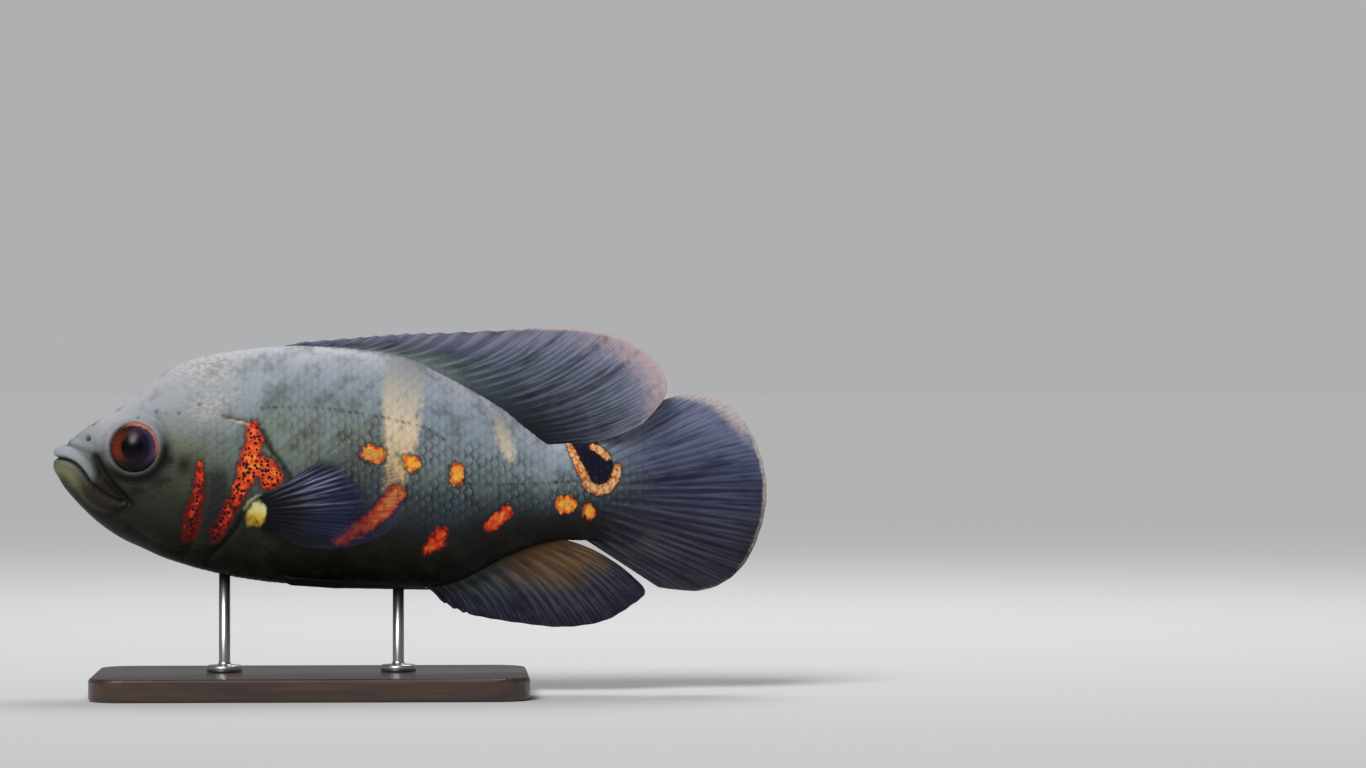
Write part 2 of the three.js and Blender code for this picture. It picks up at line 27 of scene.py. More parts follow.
# The fish's place in the model, its half-width, the end of its skin, and its tail's swing to the right.
SNOUT_X, BELLY_Z = -139.65, 42
HALF_WIDTH = 23
BODY_END = 238
SWING_STARTS, SWING_ENDS, TAIL_SWING = 95, 300, 15

# The nodes that one skin takes the place of.
SKIN_NODES = ["head", "lower_jaw", "gill_cover_left", "gill_cover_right", "trunk", "tail_stalk"]

# Side outline of the body, as (along, up), without its fins.
BACK = [
    (0, 51.2), (0.4, 53.6), (2, 55.6), (6.6, 59), (18.4, 67), (26.2, 71.9), (34, 77.7), (41.8, 83.9),
    (49.6, 88.2), (57.4, 90.6), (73, 93.3), (94, 94.9), (112, 94.1), (127.7, 92.4), (139.4, 89.5),
    (151, 84), (162.8, 77.7), (174.6, 70.6), (186.3, 61.2), (194, 56.4), (201, 56.8), (207.6, 58.1),
    (213, 59.3), (222, 62.2),
]
BELLY = [
    (0, 51.2), (0.3, 47), (1.2, 44.1), (2.7, 41), (6.6, 35.9), (10.5, 31.6), (18.4, 24.6), (26.2, 19.5),
    (34, 15.8), (41.8, 12.2), (49.6, 9.6), (57.4, 7.4), (73, 4), (90, 1.9), (112, 0.9), (132, 0.3),
    (145.3, 0), (151, 0.6), (158.9, 3), (166.8, 6.8), (174.6, 10.9), (182.4, 14.3), (190.2, 16.8),
    (200.7, 18.4), (213, 18.2), (222, 16),
]
# Where each cross-section is widest, how wide as a share of HALF_WIDTH, and how round its two halves are.
WIDEST = [
    (0, 51.2), (6, 48), (18, 46), (32, 46), (60, 44), (100, 45), (140, 44), (170, 41), (200, 37), (222, 37),
]
BREADTH = [
    (0, 0), (0.5, 0.2), (2, 0.35), (5, 0.46), (10, 0.57), (18, 0.665), (31.6, 0.765), (50, 0.885),
    (73, 0.97), (95, 1), (115, 0.985), (140, 0.87), (160, 0.715), (180, 0.52), (200, 0.34), (207, 0.26),
    (212, 0.18), (217, 0.1), (222, 0.055), (230, 0.02), (238, 0.006),
]
UPPER_ROUNDNESS = [(0, 2.2), (30, 2.3), (80, 2), (150, 1.85), (213, 2.1)]
LOWER_ROUNDNESS = [(0, 2.2), (30, 2), (80, 2.15), (150, 2.1), (213, 2.1)]

# Lines of the head, seen from the side.
MOUTH = [
    (-6, 51.4), (0, 51.2), (4.7, 50.6), (8.6, 48.8), (11.7, 45.7), (14.4, 41.8), (18.4, 38.3), (23.4, 35.1),
    (26.7, 34),
]
UPPER_LIP = [(-6, 54), (1, 53.7), (5.5, 53), (10, 51), (13.4, 47.6), (16.2, 43.8)]
LOWER_LIP = [(-6, 47.6), (1.4, 47.4), (5.4, 46.4), (9.4, 42.6), (13, 37.8), (17.4, 34.4), (22.5, 32.4)]
LIP_CREASE = [(-4, 59), (1, 58), (6, 56.6), (10.8, 54.6), (15, 51.4), (17.4, 47.4), (18.4, 43.6)]
CHEEK_CREASE = [(16.6, 51.6), (19.9, 44.9), (24.2, 39.4), (29.6, 33.6)]
CHIN_CREASE = [(28, 30.6), (20, 29), (13, 32.6), (9, 37.4)]
NOSE_CREASE = [(6, 59.5), (11, 58.4), (16, 56), (19, 52.6)]
GILL_GROOVE = [(60.6, 60), (60.2, 52), (59.6, 42.2), (57.8, 30.5), (53.5, 16.8), (47, 8)]
BRANCHIAL_LINE = [(30, 24), (42, 17), (54, 13.5), (64, 15.5)]
GILL_SLIT = [(66, 67.6), (70, 66.6), (75.6, 65.4)]
# Its folds, as the line, how far the skin stands out there, and the fold's half-width.
FACE_FOLDS = [
    (UPPER_LIP, 0.9, 2.3), (LOWER_LIP, 0.9, 2.9), (MOUTH, -1.7, 0.75), (LIP_CREASE, -1.1, 1.1),
    (CHEEK_CREASE, -1.9, 1.5), (CHIN_CREASE, -0.9, 1.6), (NOSE_CREASE, -0.35, 0.9), (GILL_GROOVE, -0.6, 1.6),
    (BRANCHIAL_LINE, -0.5, 1.3), (GILL_SLIT, -0.9, 0.8),
]
GILL_EDGE = [
    (50, -14), (52, -4), (58.4, 10.9), (66, 18.7), (71.3, 26), (75.4, 32.6), (80.8, 36.4), (88.3, 38.7),
    (91.6, 43), (88.6, 48.4), (84.4, 53.6), (81.6, 60.1), (76.6, 66.4), (75, 73),
]
EYE = (31.6, 55.2)
EYE_RADIUS, EYE_DEPTH, EYE_SUNK = 10.4, 5.6, 2.6
CORNEA_RADIUS, CORNEA_BULGE = 5.2, 0.14
EYELID_RADIUS, EYELID_HEIGHT, SOCKET_DEPTH = 9.3, 1.1, 5
NOSTRIL = (13.4, 58.9)
NOSTRIL_DEPTH, PORE_DEPTH = 1.5, 0.5
PORES = [
    (40, 69.3), (49, 68.5), (45.9, 50.1), (45.9, 42.3), (39, 36), (24.7, 74), (33, 66.8), (57, 72),
    (15, 64.5),
]

# Soft oval patches of the head, as (along, up, half-length, half-height).
CHEEK_PATCH = (45, 33, 14, 14)
SNOUT_PATCH = (9, 61, 9, 5)
NAPE_PATCH = (60, 87, 13, 8)
TEMPLE_PATCH = (62, 72, 11, 6.5)
# The mouth corner's patch is its own reddish brown, darkened as painted shadow.
MOUTH_CORNER_SHADE = (19.5, 39.5, 6, 6)
# Dark cheek patches: those behind the eye are the fish's own blotches, those under it painted shadow.
CHEEK_MOTTLES_AND_SHADE = [(44.5, 50, 4.5, 3.6), (40.5, 42.6, 6.6, 4.2), (51, 48.6, 4, 4.4), (33, 39, 5, 3)]
CHEEK_SWELL = 1.2

# Fins, as where each ray grows from and where it ends, from the first ray to the last.
DORSAL_ROOT = [
    (90.6, 95.3), (104.3, 94.6), (119.9, 93.4), (135.5, 90.8), (151, 84), (162.8, 77.7), (174.6, 70.6),
    (182.4, 64.2), (188.4, 59.6), (194.4, 56.2),
]
DORSAL_EDGE = [
    (95.7, 96.6), (116.8, 98.3), (135.5, 99.9), (157, 100.6), (188.2, 102), (209.7, 101.3), (226, 96),
    (237, 86.7), (239.4, 76), (230.6, 64.6),
]
ANAL_ROOT = [
    (144.9, 0), (150.3, 0.4), (155.8, 2), (164.8, 6), (174.6, 10.9), (183.2, 14.6), (191, 17), (196, 17.9),
    (200.2, 18.4),
]
ANAL_EDGE = [
    (150.6, -5.4), (157.6, -9.4), (166.8, -11.8), (182.4, -14.4), (198.8, -16), (214.8, -13.8),
    (226.1, -7.6), (231.6, -2.3), (226.4, 3.4),
]
TAIL_ROOT = [(207.4, 55.4), (210.4, 49), (211.8, 43), (212, 37.2), (211.2, 31), (209.4, 25), (206.4, 19.4)]
TAIL_EDGE = [
    (238.4, 73.6), (250, 76.3), (263, 72.6), (272.4, 63), (278, 50.6), (280, 37.6), (278, 24),
    (272.4, 10.6), (264, 2), (252.7, -2), (237, -0.6),
]
PECTORAL_ROOT = [(80.2, 35.6), (81.8, 29.4), (83.4, 23.4)]
PECTORAL_EDGE = [
    (115.6, 57.2), (126.4, 53.6), (133.4, 46.4), (136.3, 37.8), (134.9, 29), (129.4, 22.4), (119.6, 18),
    (108.4, 16), (97, 17),
]
DORSAL_RAYS, DORSAL_SPINES, DORSAL_LEAN = 28, 12, 8
ANAL_RAYS, ANAL_SPINES = 16, 3
TAIL_RAYS = 16
PECTORAL_RAYS, PECTORAL_FLARE = 12, 17
PELVIC_RAYS, PELVIC_ROOT, PELVIC_LENGTH, PELVIC_INNER_LENGTH, PELVIC_DROP = 6, 84, 64, 26, 7
SPINE_NOTCH, SOFT_NOTCH = 1.1, 0.22
RAY_JOINTS = 34
MEMBRANE = 0.55
RAY_RELIEF = 0.26
ROOT_SUNK, TAIL_SUNK = 3, 8

# Markings, as lines of (along, up, half-width). NO_MARK stands for a place far outside all of them.
NO_MARK = -9
RED_MARKS = [
    [(57.2, 49.3, 0.8), (57.2, 43.1, 1.7), (56.5, 36.4, 2.4), (54.5, 29.8, 3.2), (53.7, 23.9, 3.6),
     (52.9, 21.5, 2.8)],
    [(133.6, 37.6, 3.3), (130.4, 33.3, 3.4), (126.5, 29.4, 3.1), (121.8, 25.8, 3.1), (116.4, 23.1, 3.4),
     (111.7, 20.4, 3.6)],
    [(176.3, 30.1, 2.1), (172.3, 26.2, 2.7), (169.6, 23.9, 2)],
    [(150.8, 21.9, 2.6), (148.5, 18, 3.1), (145.3, 15.3, 2)],
]
GILL_MARKS = [
    [(77.6, 63.4, 2.2), (78.4, 57.9, 3.2), (76.9, 51.7, 3.4), (75.9, 46.2, 4), (73.9, 41.5, 3),
     (71.3, 36.4, 2.6), (69, 31.7, 2.8), (67, 27.4, 2.8), (64.3, 23.1, 2.9), (62.7, 20.7, 2.1)],
    [(78.8, 50.9, 2.6), (82.7, 47, 4), (85, 44.2, 4.4), (83.5, 41.9, 2.8)],
]
YELLOW_MARKS = [
    [(122.6, 52.9, 3), (125.8, 52.5, 3.2)],
    [(137.5, 50.5, 2), (139.8, 48.9, 2.8)],
    [(156.7, 46.2, 2.6), (156.7, 43.1, 2.6)],
    [(199, 32.5, 3.2), (200.9, 32.9, 3.2)],
    [(209.1, 30.1, 2.6), (209.1, 29.4, 2.6)],
    [(177, 30.9, 1.6), (175.4, 29.2, 1.4)],
]
PALE_MARKS = [
    [(138.3, 93.2, 9), (136.3, 81.4, 8), (135.5, 69.7, 7.6), (135.1, 57.9, 6.5), (133.6, 50.1, 5.3),
     (132.4, 42.3, 4.1), (132, 37.6, 3.3)],
    [(172.6, 72, 2), (174.3, 63.8, 2.8), (176.6, 56, 2.9), (177.4, 52.1, 2)],
]
OCELLUS_CORE = [(205.8, 57.5, 3.6), (209.2, 52.5, 5.2), (212.6, 47, 6.2), (214.2, 43.8, 5.4)]
OCELLUS_RING = [
    [(201, 56.2, 0.9), (202.1, 54, 1.2), (204.4, 48.9, 1.6), (206.8, 44.2, 1.7), (208.7, 39.9, 1.9),
     (212.3, 38, 1.9), (216.6, 38.8, 1.9), (219.3, 42.3, 1.7), (220.5, 47, 1.5)],
    [(210.3, 55.4, 1.2), (213.8, 53.6, 1.5), (216.4, 51, 1.2)],
]
# A band of painted shade behind the gill groove.
GILL_GROOVE_SHADE = [[(63.5, 43, 3.2), (63.9, 32.5, 3.6), (61.5, 22.7, 2.8)]]
UPPER_LATERAL_LINE = [
    (81.1, 70.5), (96, 71.3), (111.7, 69.7), (124.2, 67.7), (135.1, 65.4), (144.9, 62.6), (152.8, 57.9),
]
LOWER_LATERAL_LINE = [(156.7, 41.5), (174.3, 40.7), (197.8, 41.5), (209.5, 42.3)]
FIN_BASE = [(77.4, 36), (78, 31.5), (79.4, 26.5)]

# Scales: how long and tall each one shows, its relief, and its rear edge's bulge in lengths of two scales.
SCALE_LENGTH, SCALE_HEIGHT = 2.6, 4.2
SCALE_RELIEF, SCALE_BULGE = 0.16, 0.24

# The stand.
BASE_LENGTH, BASE_WIDTH, BASE_THICKNESS, BASE_CORNER, BASE_EDGE = 170, 100, 9, 14, 1.5
GAP = 0.3
ROD_RADIUS, ROD_FOOT_RADIUS, ROD_FOOT_HEIGHT = 2.2, 7, 2.6
FRONT_ROD, REAR_ROD = 66, 134

# The camera: a long lens, square to the fish's left side, turned so that the fish sits left of centre.
LENS = 135
CAMERA_DISTANCE = 2014.5
CAMERA_TURN = 3.02
CAMERA_HEIGHT = 122


# Curves and distances.

def smooth_curve(points):
    """A smooth function through the points, which never swings past them."""
    x, y = np.array(points, float).T
    rise = np.diff(y) / np.diff(x)
    turns = rise[:-1] * rise[1:] <= 0
    total = np.where(turns, 1, rise[:-1] + rise[1:])
    slope = np.concatenate([rise[:1], np.where(turns, 0, 2 * rise[:-1] * rise[1:] / total), rise[-1:]])

    def at(value):
        value = np.clip(value, x[0], x[-1])
        i = np.clip(np.searchsorted(x, value, side="right") - 1, 0, len(x) - 2)
        width = x[i + 1] - x[i]
        t = (value - x[i]) / width
        here = y[i] * (1 + 2 * t) * (1 - t) ** 2 + slope[i] * width * t * (1 - t) ** 2
        return here + y[i + 1] * t * t * (3 - 2 * t) + slope[i + 1] * width * t * t * (t - 1)

    return at


def nose_curve(points):
    """The same for an outline that leaves the blunt snout at a right angle."""
    curve = smooth_curve([(along ** 0.5, value) for along, value in points])
    return lambda along: curve(np.sqrt(np.maximum(along, 0)))


back = nose_curve(BACK)
belly = nose_curve(BELLY)
widest = nose_curve(WIDEST)
breadth = nose_curve(BREADTH)
upper_roundness = smooth_curve(UPPER_ROUNDNESS)
lower_roundness = smooth_curve(LOWER_ROUNDNESS)


def smoothstep(value, low, high):
    """A share that goes smoothly from 0 to 1 as the value goes from low to high."""
    t = np.clip((value - low) / (high - low), 0, 1)
    return t * t * (3 - 2 * t)


def bell(distance, width):
    return np.exp(-((distance / width) ** 2))


def oval(along, up, patch):
    """A soft oval patch, 1 in its middle."""
    x, z, long, tall = patch
    return bell(np.hypot((along - x) / long, (up - z) / tall), 1)


def rounded_line(points):
    """A function that follows a rounded line through the points, from 0 to 1 and a little past its ends."""
    p = np.array(points, float)
    last = len(p) - 1

    def at(share):
        share = np.asarray(share, float)
        place = np.clip(share, 0, 1) * last
        i = np.clip(np.floor(place).astype(int), 0, last - 1)
        t = (place - i)[..., None]
        before, start = p[np.maximum(i - 1, 0)], p[i]
        end, after = p[i + 1], p[np.minimum(i + 2, last)]
        before = np.where((i == 0)[..., None], start, before)
        after = np.where((i == last - 1)[..., None], end, after)
        a, b = (end - before) / 2, (after - start) / 2
        c, d = 3 * (end - start) - 2 * a - b, 2 * (start - end) + a + b
        here = start + t * (a + t * (c + t * d))
        way = a + t * (2 * c + 3 * t * d)
        length = np.linalg.norm(way, axis=-1, keepdims=True)
        past = (share - np.clip(share, 0, 1))[..., None] * 10 * len(p)
        return here + way / np.maximum(length, 1e-9) * past

    return at


def distance_to(line, along, up):
    """How far each place is from a rounded line."""
    points = rounded_line(line)(np.linspace(0, 1, 8 * len(line)))
    nearest = np.full(np.shape(along), np.inf)
    for start, end in zip(points[:-1], points[1:]):
        step = end - start
        t = np.clip(((along - start[0]) * step[0] + (up - start[1]) * step[1]) / (step @ step), 0, 1)
        nearest = np.minimum(nearest, np.hypot(along - start[0] - t * step[0], up - start[1] - t * step[1]))
    return nearest


def inside_mark(lines, along, up):
    """How deep each place is inside the nearest mark, negative outside it."""
    deepest = np.full(np.shape(along), -99.0)
    for line in lines:
        for (x0, z0, r0), (x1, z1, r1) in zip(line[:-1], line[1:]):
            length = (x1 - x0) ** 2 + (z1 - z0) ** 2
            t = np.clip(((along - x0) * (x1 - x0) + (up - z0) * (z1 - z0)) / length, 0, 1)
            away = np.hypot(along - x0 - t * (x1 - x0), up - z0 - t * (z1 - z0))
            deepest = np.maximum(deepest, r0 + t * (r1 - r0) - away)
    return deepest


# The form of the body.

def swing(along):
    return TAIL_SWING * smoothstep(along, SWING_STARTS, SWING_ENDS)


def in_frame(along, out, up):
    """Places on the fish as points of the model, in metres."""
    return np.stack([SNOUT_X + along, swing(along) + out, BELLY_Z + up], -1) * MM


def body_form(along, angle):
    """The smooth skin. The angle is 0 on the back, and grows towards the fish's left side."""
    upper = np.cos(angle) > 0
    power = 2 / np.where(upper, upper_roundness(along), lower_roundness(along))
    out = -np.sign(np.sin(angle)) * HALF_WIDTH * breadth(along) * np.abs(np.sin(angle)) ** power
    middle = widest(along)
    reach = np.where(upper, back(along), belly(along)) - middle
    return np.stack([along, out, middle + reach * np.abs(np.cos(angle)) ** power], -1)


def body_normal(along, angle):
    step = 0.02 * np.minimum(1, along + 0.1)
    down = body_form(along, angle + 0.02) - body_form(along, angle - 0.02)
    backwards = body_form(along + step, angle) - body_form(np.maximum(along - step, 0), angle)
    normal = np.cross(down, backwards)
    length = np.linalg.norm(normal, axis=-1, keepdims=True)
    return np.where(length > 1e-9, normal / np.maximum(length, 1e-9), np.array([-1.0, 0, 0]))


def body_skin(along, angle, relief=None, grow=0):
    """Points of the skin, in metres, with any relief, moved outwards by grow."""
    form = body_form(along, angle)
    height = grow + (relief(form[..., 0], form[..., 2]) if relief else 0)
    form = form + body_normal(along, angle) * np.asarray(height)[..., None]
    return in_frame(form[..., 0], form[..., 1], form[..., 2])


def scale_rows(along, up):
    """Counts along the body and across it, in scales, on the flank."""
    across = (up - widest(along)) / SCALE_HEIGHT
    return along / (2 * SCALE_LENGTH), across


def behind_margin(rows, columns):
    """How far a place is behind the rear edge of the scale ahead of it, in lengths of two scales."""
    def row(shift):
        aside = columns - shift - np.round(columns - shift)
        bulge = SCALE_BULGE * np.maximum(1 - 4 * aside ** 2, 0) ** 0.8
        behind = rows - shift - bulge
        return behind - np.floor(behind)
    return np.minimum(row(0), row(0.5))


def scaly(along, up):
    """Where the skin carries scales that show: not on the face, lips and chin."""
    cheek = smoothstep(along, 44, 58)
    crown = smoothstep(along + (up - 60) * 0.5, 52, 74)
    return np.maximum(cheek * (1 - smoothstep(up, 62, 74)), crown) * (1 - smoothstep(along, 208, 246))


def gill_edge_ahead(along, up):
    """How far ahead of the gill cover's rear edge a place is, negative behind it."""
    edge = smooth_curve([(z, x) for x, z in GILL_EDGE])(up)
    away = distance_to(GILL_EDGE, along, up)
    return np.where(along < edge, away, -away)


def head_relief(along, up):
    """What stands out of the smooth form, or is pressed into it."""
    height = sum(tall * bell(distance_to(line, along, up), wide) for line, tall, wide in FACE_FOLDS)
    height = height + CHEEK_SWELL * oval(along, up, CHEEK_PATCH)
    past_lid = np.hypot(along - EYE[0], up - EYE[1]) - EYELID_RADIUS
    height = height + EYELID_HEIGHT * bell(past_lid - 1.1, 1.4) - 0.6 * bell(past_lid - 4.6, 1.6)
    height = height - SOCKET_DEPTH * (1 - smoothstep(past_lid, -1.4, 0.5))
    from_nostril = np.hypot(along - NOSTRIL[0], up - NOSTRIL[1])
    height = height + 0.35 * bell(from_nostril - 1.7, 0.7) - NOSTRIL_DEPTH * bell(from_nostril, 0.9)
    for pore in PORES:
        height = height - PORE_DEPTH * bell(np.hypot(along - pore[0], up - pore[1]), 0.55)
    ahead = gill_edge_ahead(along, up)
    cover = smoothstep(along, 58, 84) * (1 - smoothstep(up, 58, 67)) * smoothstep(up, 8, 22)
    edge = 1 - smoothstep(up, 64, 70)
    height = height + 1.1 * cover * smoothstep(ahead, -0.5, 0.6) - 0.7 * edge * bell(ahead + 0.9, 0.8)
    return height * np.maximum(1 - smoothstep(along, 26, 36), smoothstep(up - belly(along), 0.5, 7))


def place_on_tail(along, up):
    """Where a place of the skin lies on the tail fin under it, as shares across its rays and along them."""
    root_at, edge_at = rounded_line(TAIL_ROOT), rounded_line(TAIL_EDGE)
    across = np.full(np.shape(along), 0.5)
    for _ in range(24):
        start, end = root_at(across), edge_at(across)
        ray = end - start
        length = np.linalg.norm(ray, axis=-1)
        ahead, aside = along - start[..., 0], up - start[..., 1]
        beside = (aside * ray[..., 0] - ahead * ray[..., 1]) / length
        across = np.clip(across - 0.6 * beside / 60, 0, 1)
    away = (ahead * ray[..., 0] + aside * ray[..., 1]) / length
    return across, (away + TAIL_SUNK) / (length + TAIL_SUNK)


def tail_rays(along, up):
    """The tail fin's rays where they start under the skin, from 0 to 1."""
    across, out = place_on_tail(along, up)
    return ray_pattern(across * TAIL_RAYS, out, 0) * smoothstep(along, 208, 222)


def from_lateral_line(along, up):
    return np.minimum(distance_to(UPPER_LATERAL_LINE, along, up), distance_to(LOWER_LATERAL_LINE, along, up))


def skin_relief(along, up):
    rows, columns = scale_rows(along, up)
    scales = SCALE_RELIEF * smoothstep(behind_margin(rows, columns), 0, 0.3) * scaly(along, up)
    tubes = 0.15 * bell(from_lateral_line(along, up), 0.7)
    return head_relief(along, up) + scales + tubes + 0.13 * tail_rays(along, up)


# Making meshes.

def finished(name, bm, replaced, material, smooth=True):
    """A mesh as a finished piece of the model that takes the place of CAD nodes."""
    mesh = bpy.data.meshes.new(name)
    bm.to_mesh(mesh)
    bm.free()
    mesh.polygons.foreach_set("use_smooth", [smooth] * len(mesh.polygons))
    piece = bpy.data.objects.new(name, mesh)
    bpy.context.collection.objects.link(piece)
    mesh.materials.append(material)
    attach(piece, "root")
    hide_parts(*replaced)
    return piece


def vertex_places(bm):
    return np.array([v.co[:] for v in bm.verts])


def set_places(bm, places):
    for vertex, place in zip(bm.verts, places.tolist()):
        vertex.co = place


def note(piece, **values):
    """Keeps a number for each vertex, under a name that the material reads."""
    count = len(piece.data.vertices)
    for name, value in values.items():
        attribute = piece.data.attributes.new(name, "FLOAT", "POINT")
        attribute.data.foreach_set("value", np.broadcast_to(value, count).astype(np.float32))


# Materials.

MIX_SHARE, MIX_UNDER, MIX_OVER = 0, 6, 7
TAIL_RAY_SHADE = "#666d84"
DOT_SPACING = 1.45
# The painted shade of folds in the fins.
RAY_FOLD_SHADE = "#11131c"


def colour(code):
    """An sRGB hex colour as Blender's linear one."""
    parts = [int(code[i : i + 2], 16) / 255 for i in (1, 3, 5)]
    return tuple(p / 12.92 if p <= 0.04045 else ((p + 0.055) / 1.055) ** 2.4 for p in parts) + (1,)


def add(tree, kind, inputs=None, output=0, ramp=None, **settings):
    """One node with its settings, its ramp and what goes into its sockets. Gives its output socket.

    A socket takes another socket, a value, a hex colour, or the name of a number that the mesh carries.
    """
    made = tree.nodes.new("ShaderNode" + kind)
    for name, value in settings.items():
        setattr(made, name, value)
    for socket, source in (inputs or {}).items():
        if isinstance(source, str) and not source.startswith("#"):
            source = add(tree, "Attribute", output="Fac", attribute_name=source)
        if isinstance(source, bpy.types.NodeSocket):
            tree.links.new(source, made.inputs[socket])
        else:
            made.inputs[socket].default_value = colour(source) if isinstance(source, str) else source
    if ramp:
        stops = made.color_ramp.elements
        while len(stops) < len(ramp):
            stops.new(1)
        for stop, (place, shade) in zip(stops, ramp):
            stop.position = place
            stop.color = colour(shade)
    return made.outputs[output] if made.outputs else made


def new_material(name, sockets):
    """A material whose Principled BSDF gets what sockets(tree) works out."""
    material = bpy.data.materials.new(name)
    material.use_nodes = True
    tree = material.node_tree
    tree.nodes.clear()
    add(tree, "OutputMaterial", {"Surface": add(tree, "BsdfPrincipled", sockets(tree))})
    return material


def coverage(tree, *parts):
    """All parts multiplied. A part (value, low, high) goes smoothly from 0 at low to 1 at high."""
    total = None
    for part in parts:
        if isinstance(part, tuple):
            value, low, high = part
            part = add(tree, "MapRange", {"Value": value, 1: low, 2: high}, interpolation_type="SMOOTHSTEP")
        total = part if total is None else add(tree, "Math", {0: total, 1: part}, operation="MULTIPLY")
    return total


def layered(tree, ground, *layers):
    """Lays colours over the ground in turn. A layer is its colour and the parts of its coverage."""
    for shade, *parts in layers:
        mix = {MIX_SHARE: coverage(tree, *parts), MIX_UNDER: ground, MIX_OVER: shade}
        ground = add(tree, "Mix", mix, 2, data_type="RGBA")
    return ground


def speckle(tree, size, detail=2, stretch=(1, 1, 1)):
    """Even noise whose blotches are about size millimetres across."""
    place = add(tree, "Mapping", {"Vector": add(tree, "TexCoord", output="Object"), "Scale": stretch})
    return add(tree, "TexNoise", {"Vector": place, "Scale": 1 / (size * MM), "Detail": detail}, "Fac")


def broken(tree, value, size, depth):
    """A distance whose border is made uneven by noise."""
    noise = add(tree, "Math", {0: speckle(tree, size), 1: 0.5}, operation="SUBTRACT")
    return add(tree, "Math", {0: noise, 1: 2 * depth, 2: value}, operation="MULTIPLY_ADD")


def scale_margins(tree):
    """How far each point is behind a scale's rear edge, as behind_margin works it out, a little uneven."""
    rows = broken(tree, "scale_rows", 4, 0.16)
    columns = broken(tree, "scale_columns", 5, 0.22)
    margins = []
    for shift in (0, 0.5):
        steps = [
            ("SUBTRACT", shift), ("PINGPONG", 0.5), ("POWER", 2), ("MULTIPLY", -4), ("ADD", 1),
            ("MAXIMUM", 0), ("POWER", 0.8), ("MULTIPLY", -SCALE_BULGE), ("ADD", rows), ("SUBTRACT", shift),
            ("FRACT", 0),
        ]
        behind = columns
        for operation, by in steps:
            behind = add(tree, "Math", {0: behind, 1: by}, operation=operation)
        margins.append(behind)
    return add(tree, "Math", {0: margins[0], 1: margins[1]}, operation="MINIMUM")


def flank_colour(tree):
    """Slate flanks, olive behind the gills, between a pale lavender back and a nearly black belly."""
    # Darker towards the belly: partly the fish's own colour, partly painted shade of light from above.
    flank = add(tree, "ValToRGB", {"Fac": broken(tree, "level", 12, 0.05)}, ramp=[
        (0, "#040300"), (0.1, "#0b0700"), (0.18, "#13110a"), (0.26, "#181a21"), (0.34, "#313941"),
        (0.42, "#49535a"), (0.52, "#677371"), (0.66, "#838f98"), (0.8, "#8b97a2"), (0.9, "#9ba3ae"),
        (1, "#b0b2ba"),
    ])
    return layered(
        tree, flank, ("#686d52", "olive", (speckle(tree, 14, 3), 0.26, 0.58), 0.8),
        ("#2b3233", (speckle(tree, 1.3, 4, (1, 1, 0.35)), 0.48, 0.68), 0.4, "scale_net"),
    )


def tail_web_colour(tree):
    """Dark blue to purple skin between the tail's rays."""
    level = add(tree, "MapRange", {"Value": broken(tree, "height", 12, 6), 1: -5, 2: 80})
    return add(tree, "ValToRGB", {"Fac": level}, ramp=[
        (0.05, "#28222c"), (0.26, "#221a28"), (0.42, "#2b2a3e"), (0.54, "#282b43"), (0.7, "#585d7a"),
        (0.86, "#6e7390"), (1, "#82889d"),
    ])


def marked(tree, ground):
    """Lays the pale bars, the orange and red marks and the ringed eyespot over the ground colour."""
    pale = add(tree, "ValToRGB", {"Fac": "level"}, ramp=[
        (0.35, "#c4a168"), (0.5, "#d2b583"), (0.7, "#dcc9ac"), (0.84, "#b8b0a0"), (0.96, "#8f9094"),
    ])
    rubbed = (speckle(tree, 3, 4, (1, 1, 0.5)), 0.2, 0.5)
    depth = broken(tree, "bright_mark", 1.8, 2.1)
    heat = add(tree, "Math", {0: speckle(tree, 2.4, 4), 1: 1.2, 2: "redness"}, operation="MULTIPLY_ADD")
    heat = add(tree, "Math", {0: heat, 1: coverage(tree, (depth, 2, 0), 0.28)}, operation="ADD")
    hot = add(tree, "ValToRGB", {"Fac": heat}, ramp=[
        (0.18, "#f7b23a"), (0.34, "#f0902e"), (0.5, "#e65c20"), (0.68, "#d63a17"), (0.85, "#a92410"),
        (1, "#5f0f07"),
    ])
    place = add(tree, "TexCoord", output="Object")
    dots = add(tree, "TexVoronoi", {"Vector": place, "Scale": 1 / (DOT_SPACING * MM)}, "Distance")
    ring = broken(tree, "eyespot_ring", 1.4, 0.9)
    beads = layered(tree, "#c76a2e", ("#f0bb80", (speckle(tree, 1.5, 1), 0.35, 0.62)))
    return layered(
        tree, ground,
        (pale, (broken(tree, "pale_mark", 2.6, 2.4), -1.5, 1.6), 0.95, rubbed),
        # Painted shade behind the gill groove.
        ("#191c1e", (broken(tree, "gill_groove_shade", 3, 2.5), -3, 1.5), 0.8),
        ("#241c18", (depth, -1.9, -0.3), 0.75),
        (hot, (depth, -0.5, 0.4)),
        ("#1d0907", (broken(tree, dots, 2.5, 0.2), 0.52, 0.37), ("gill_mark", 0, 0.8)),
        ("#120d24", (broken(tree, "eyespot", 2, 0.8), -0.6, 0.5)),
        ("#2a1410", (ring, -1.3, 0), 0.8),
        (beads, (ring, -0.3, 0.4)),
    )


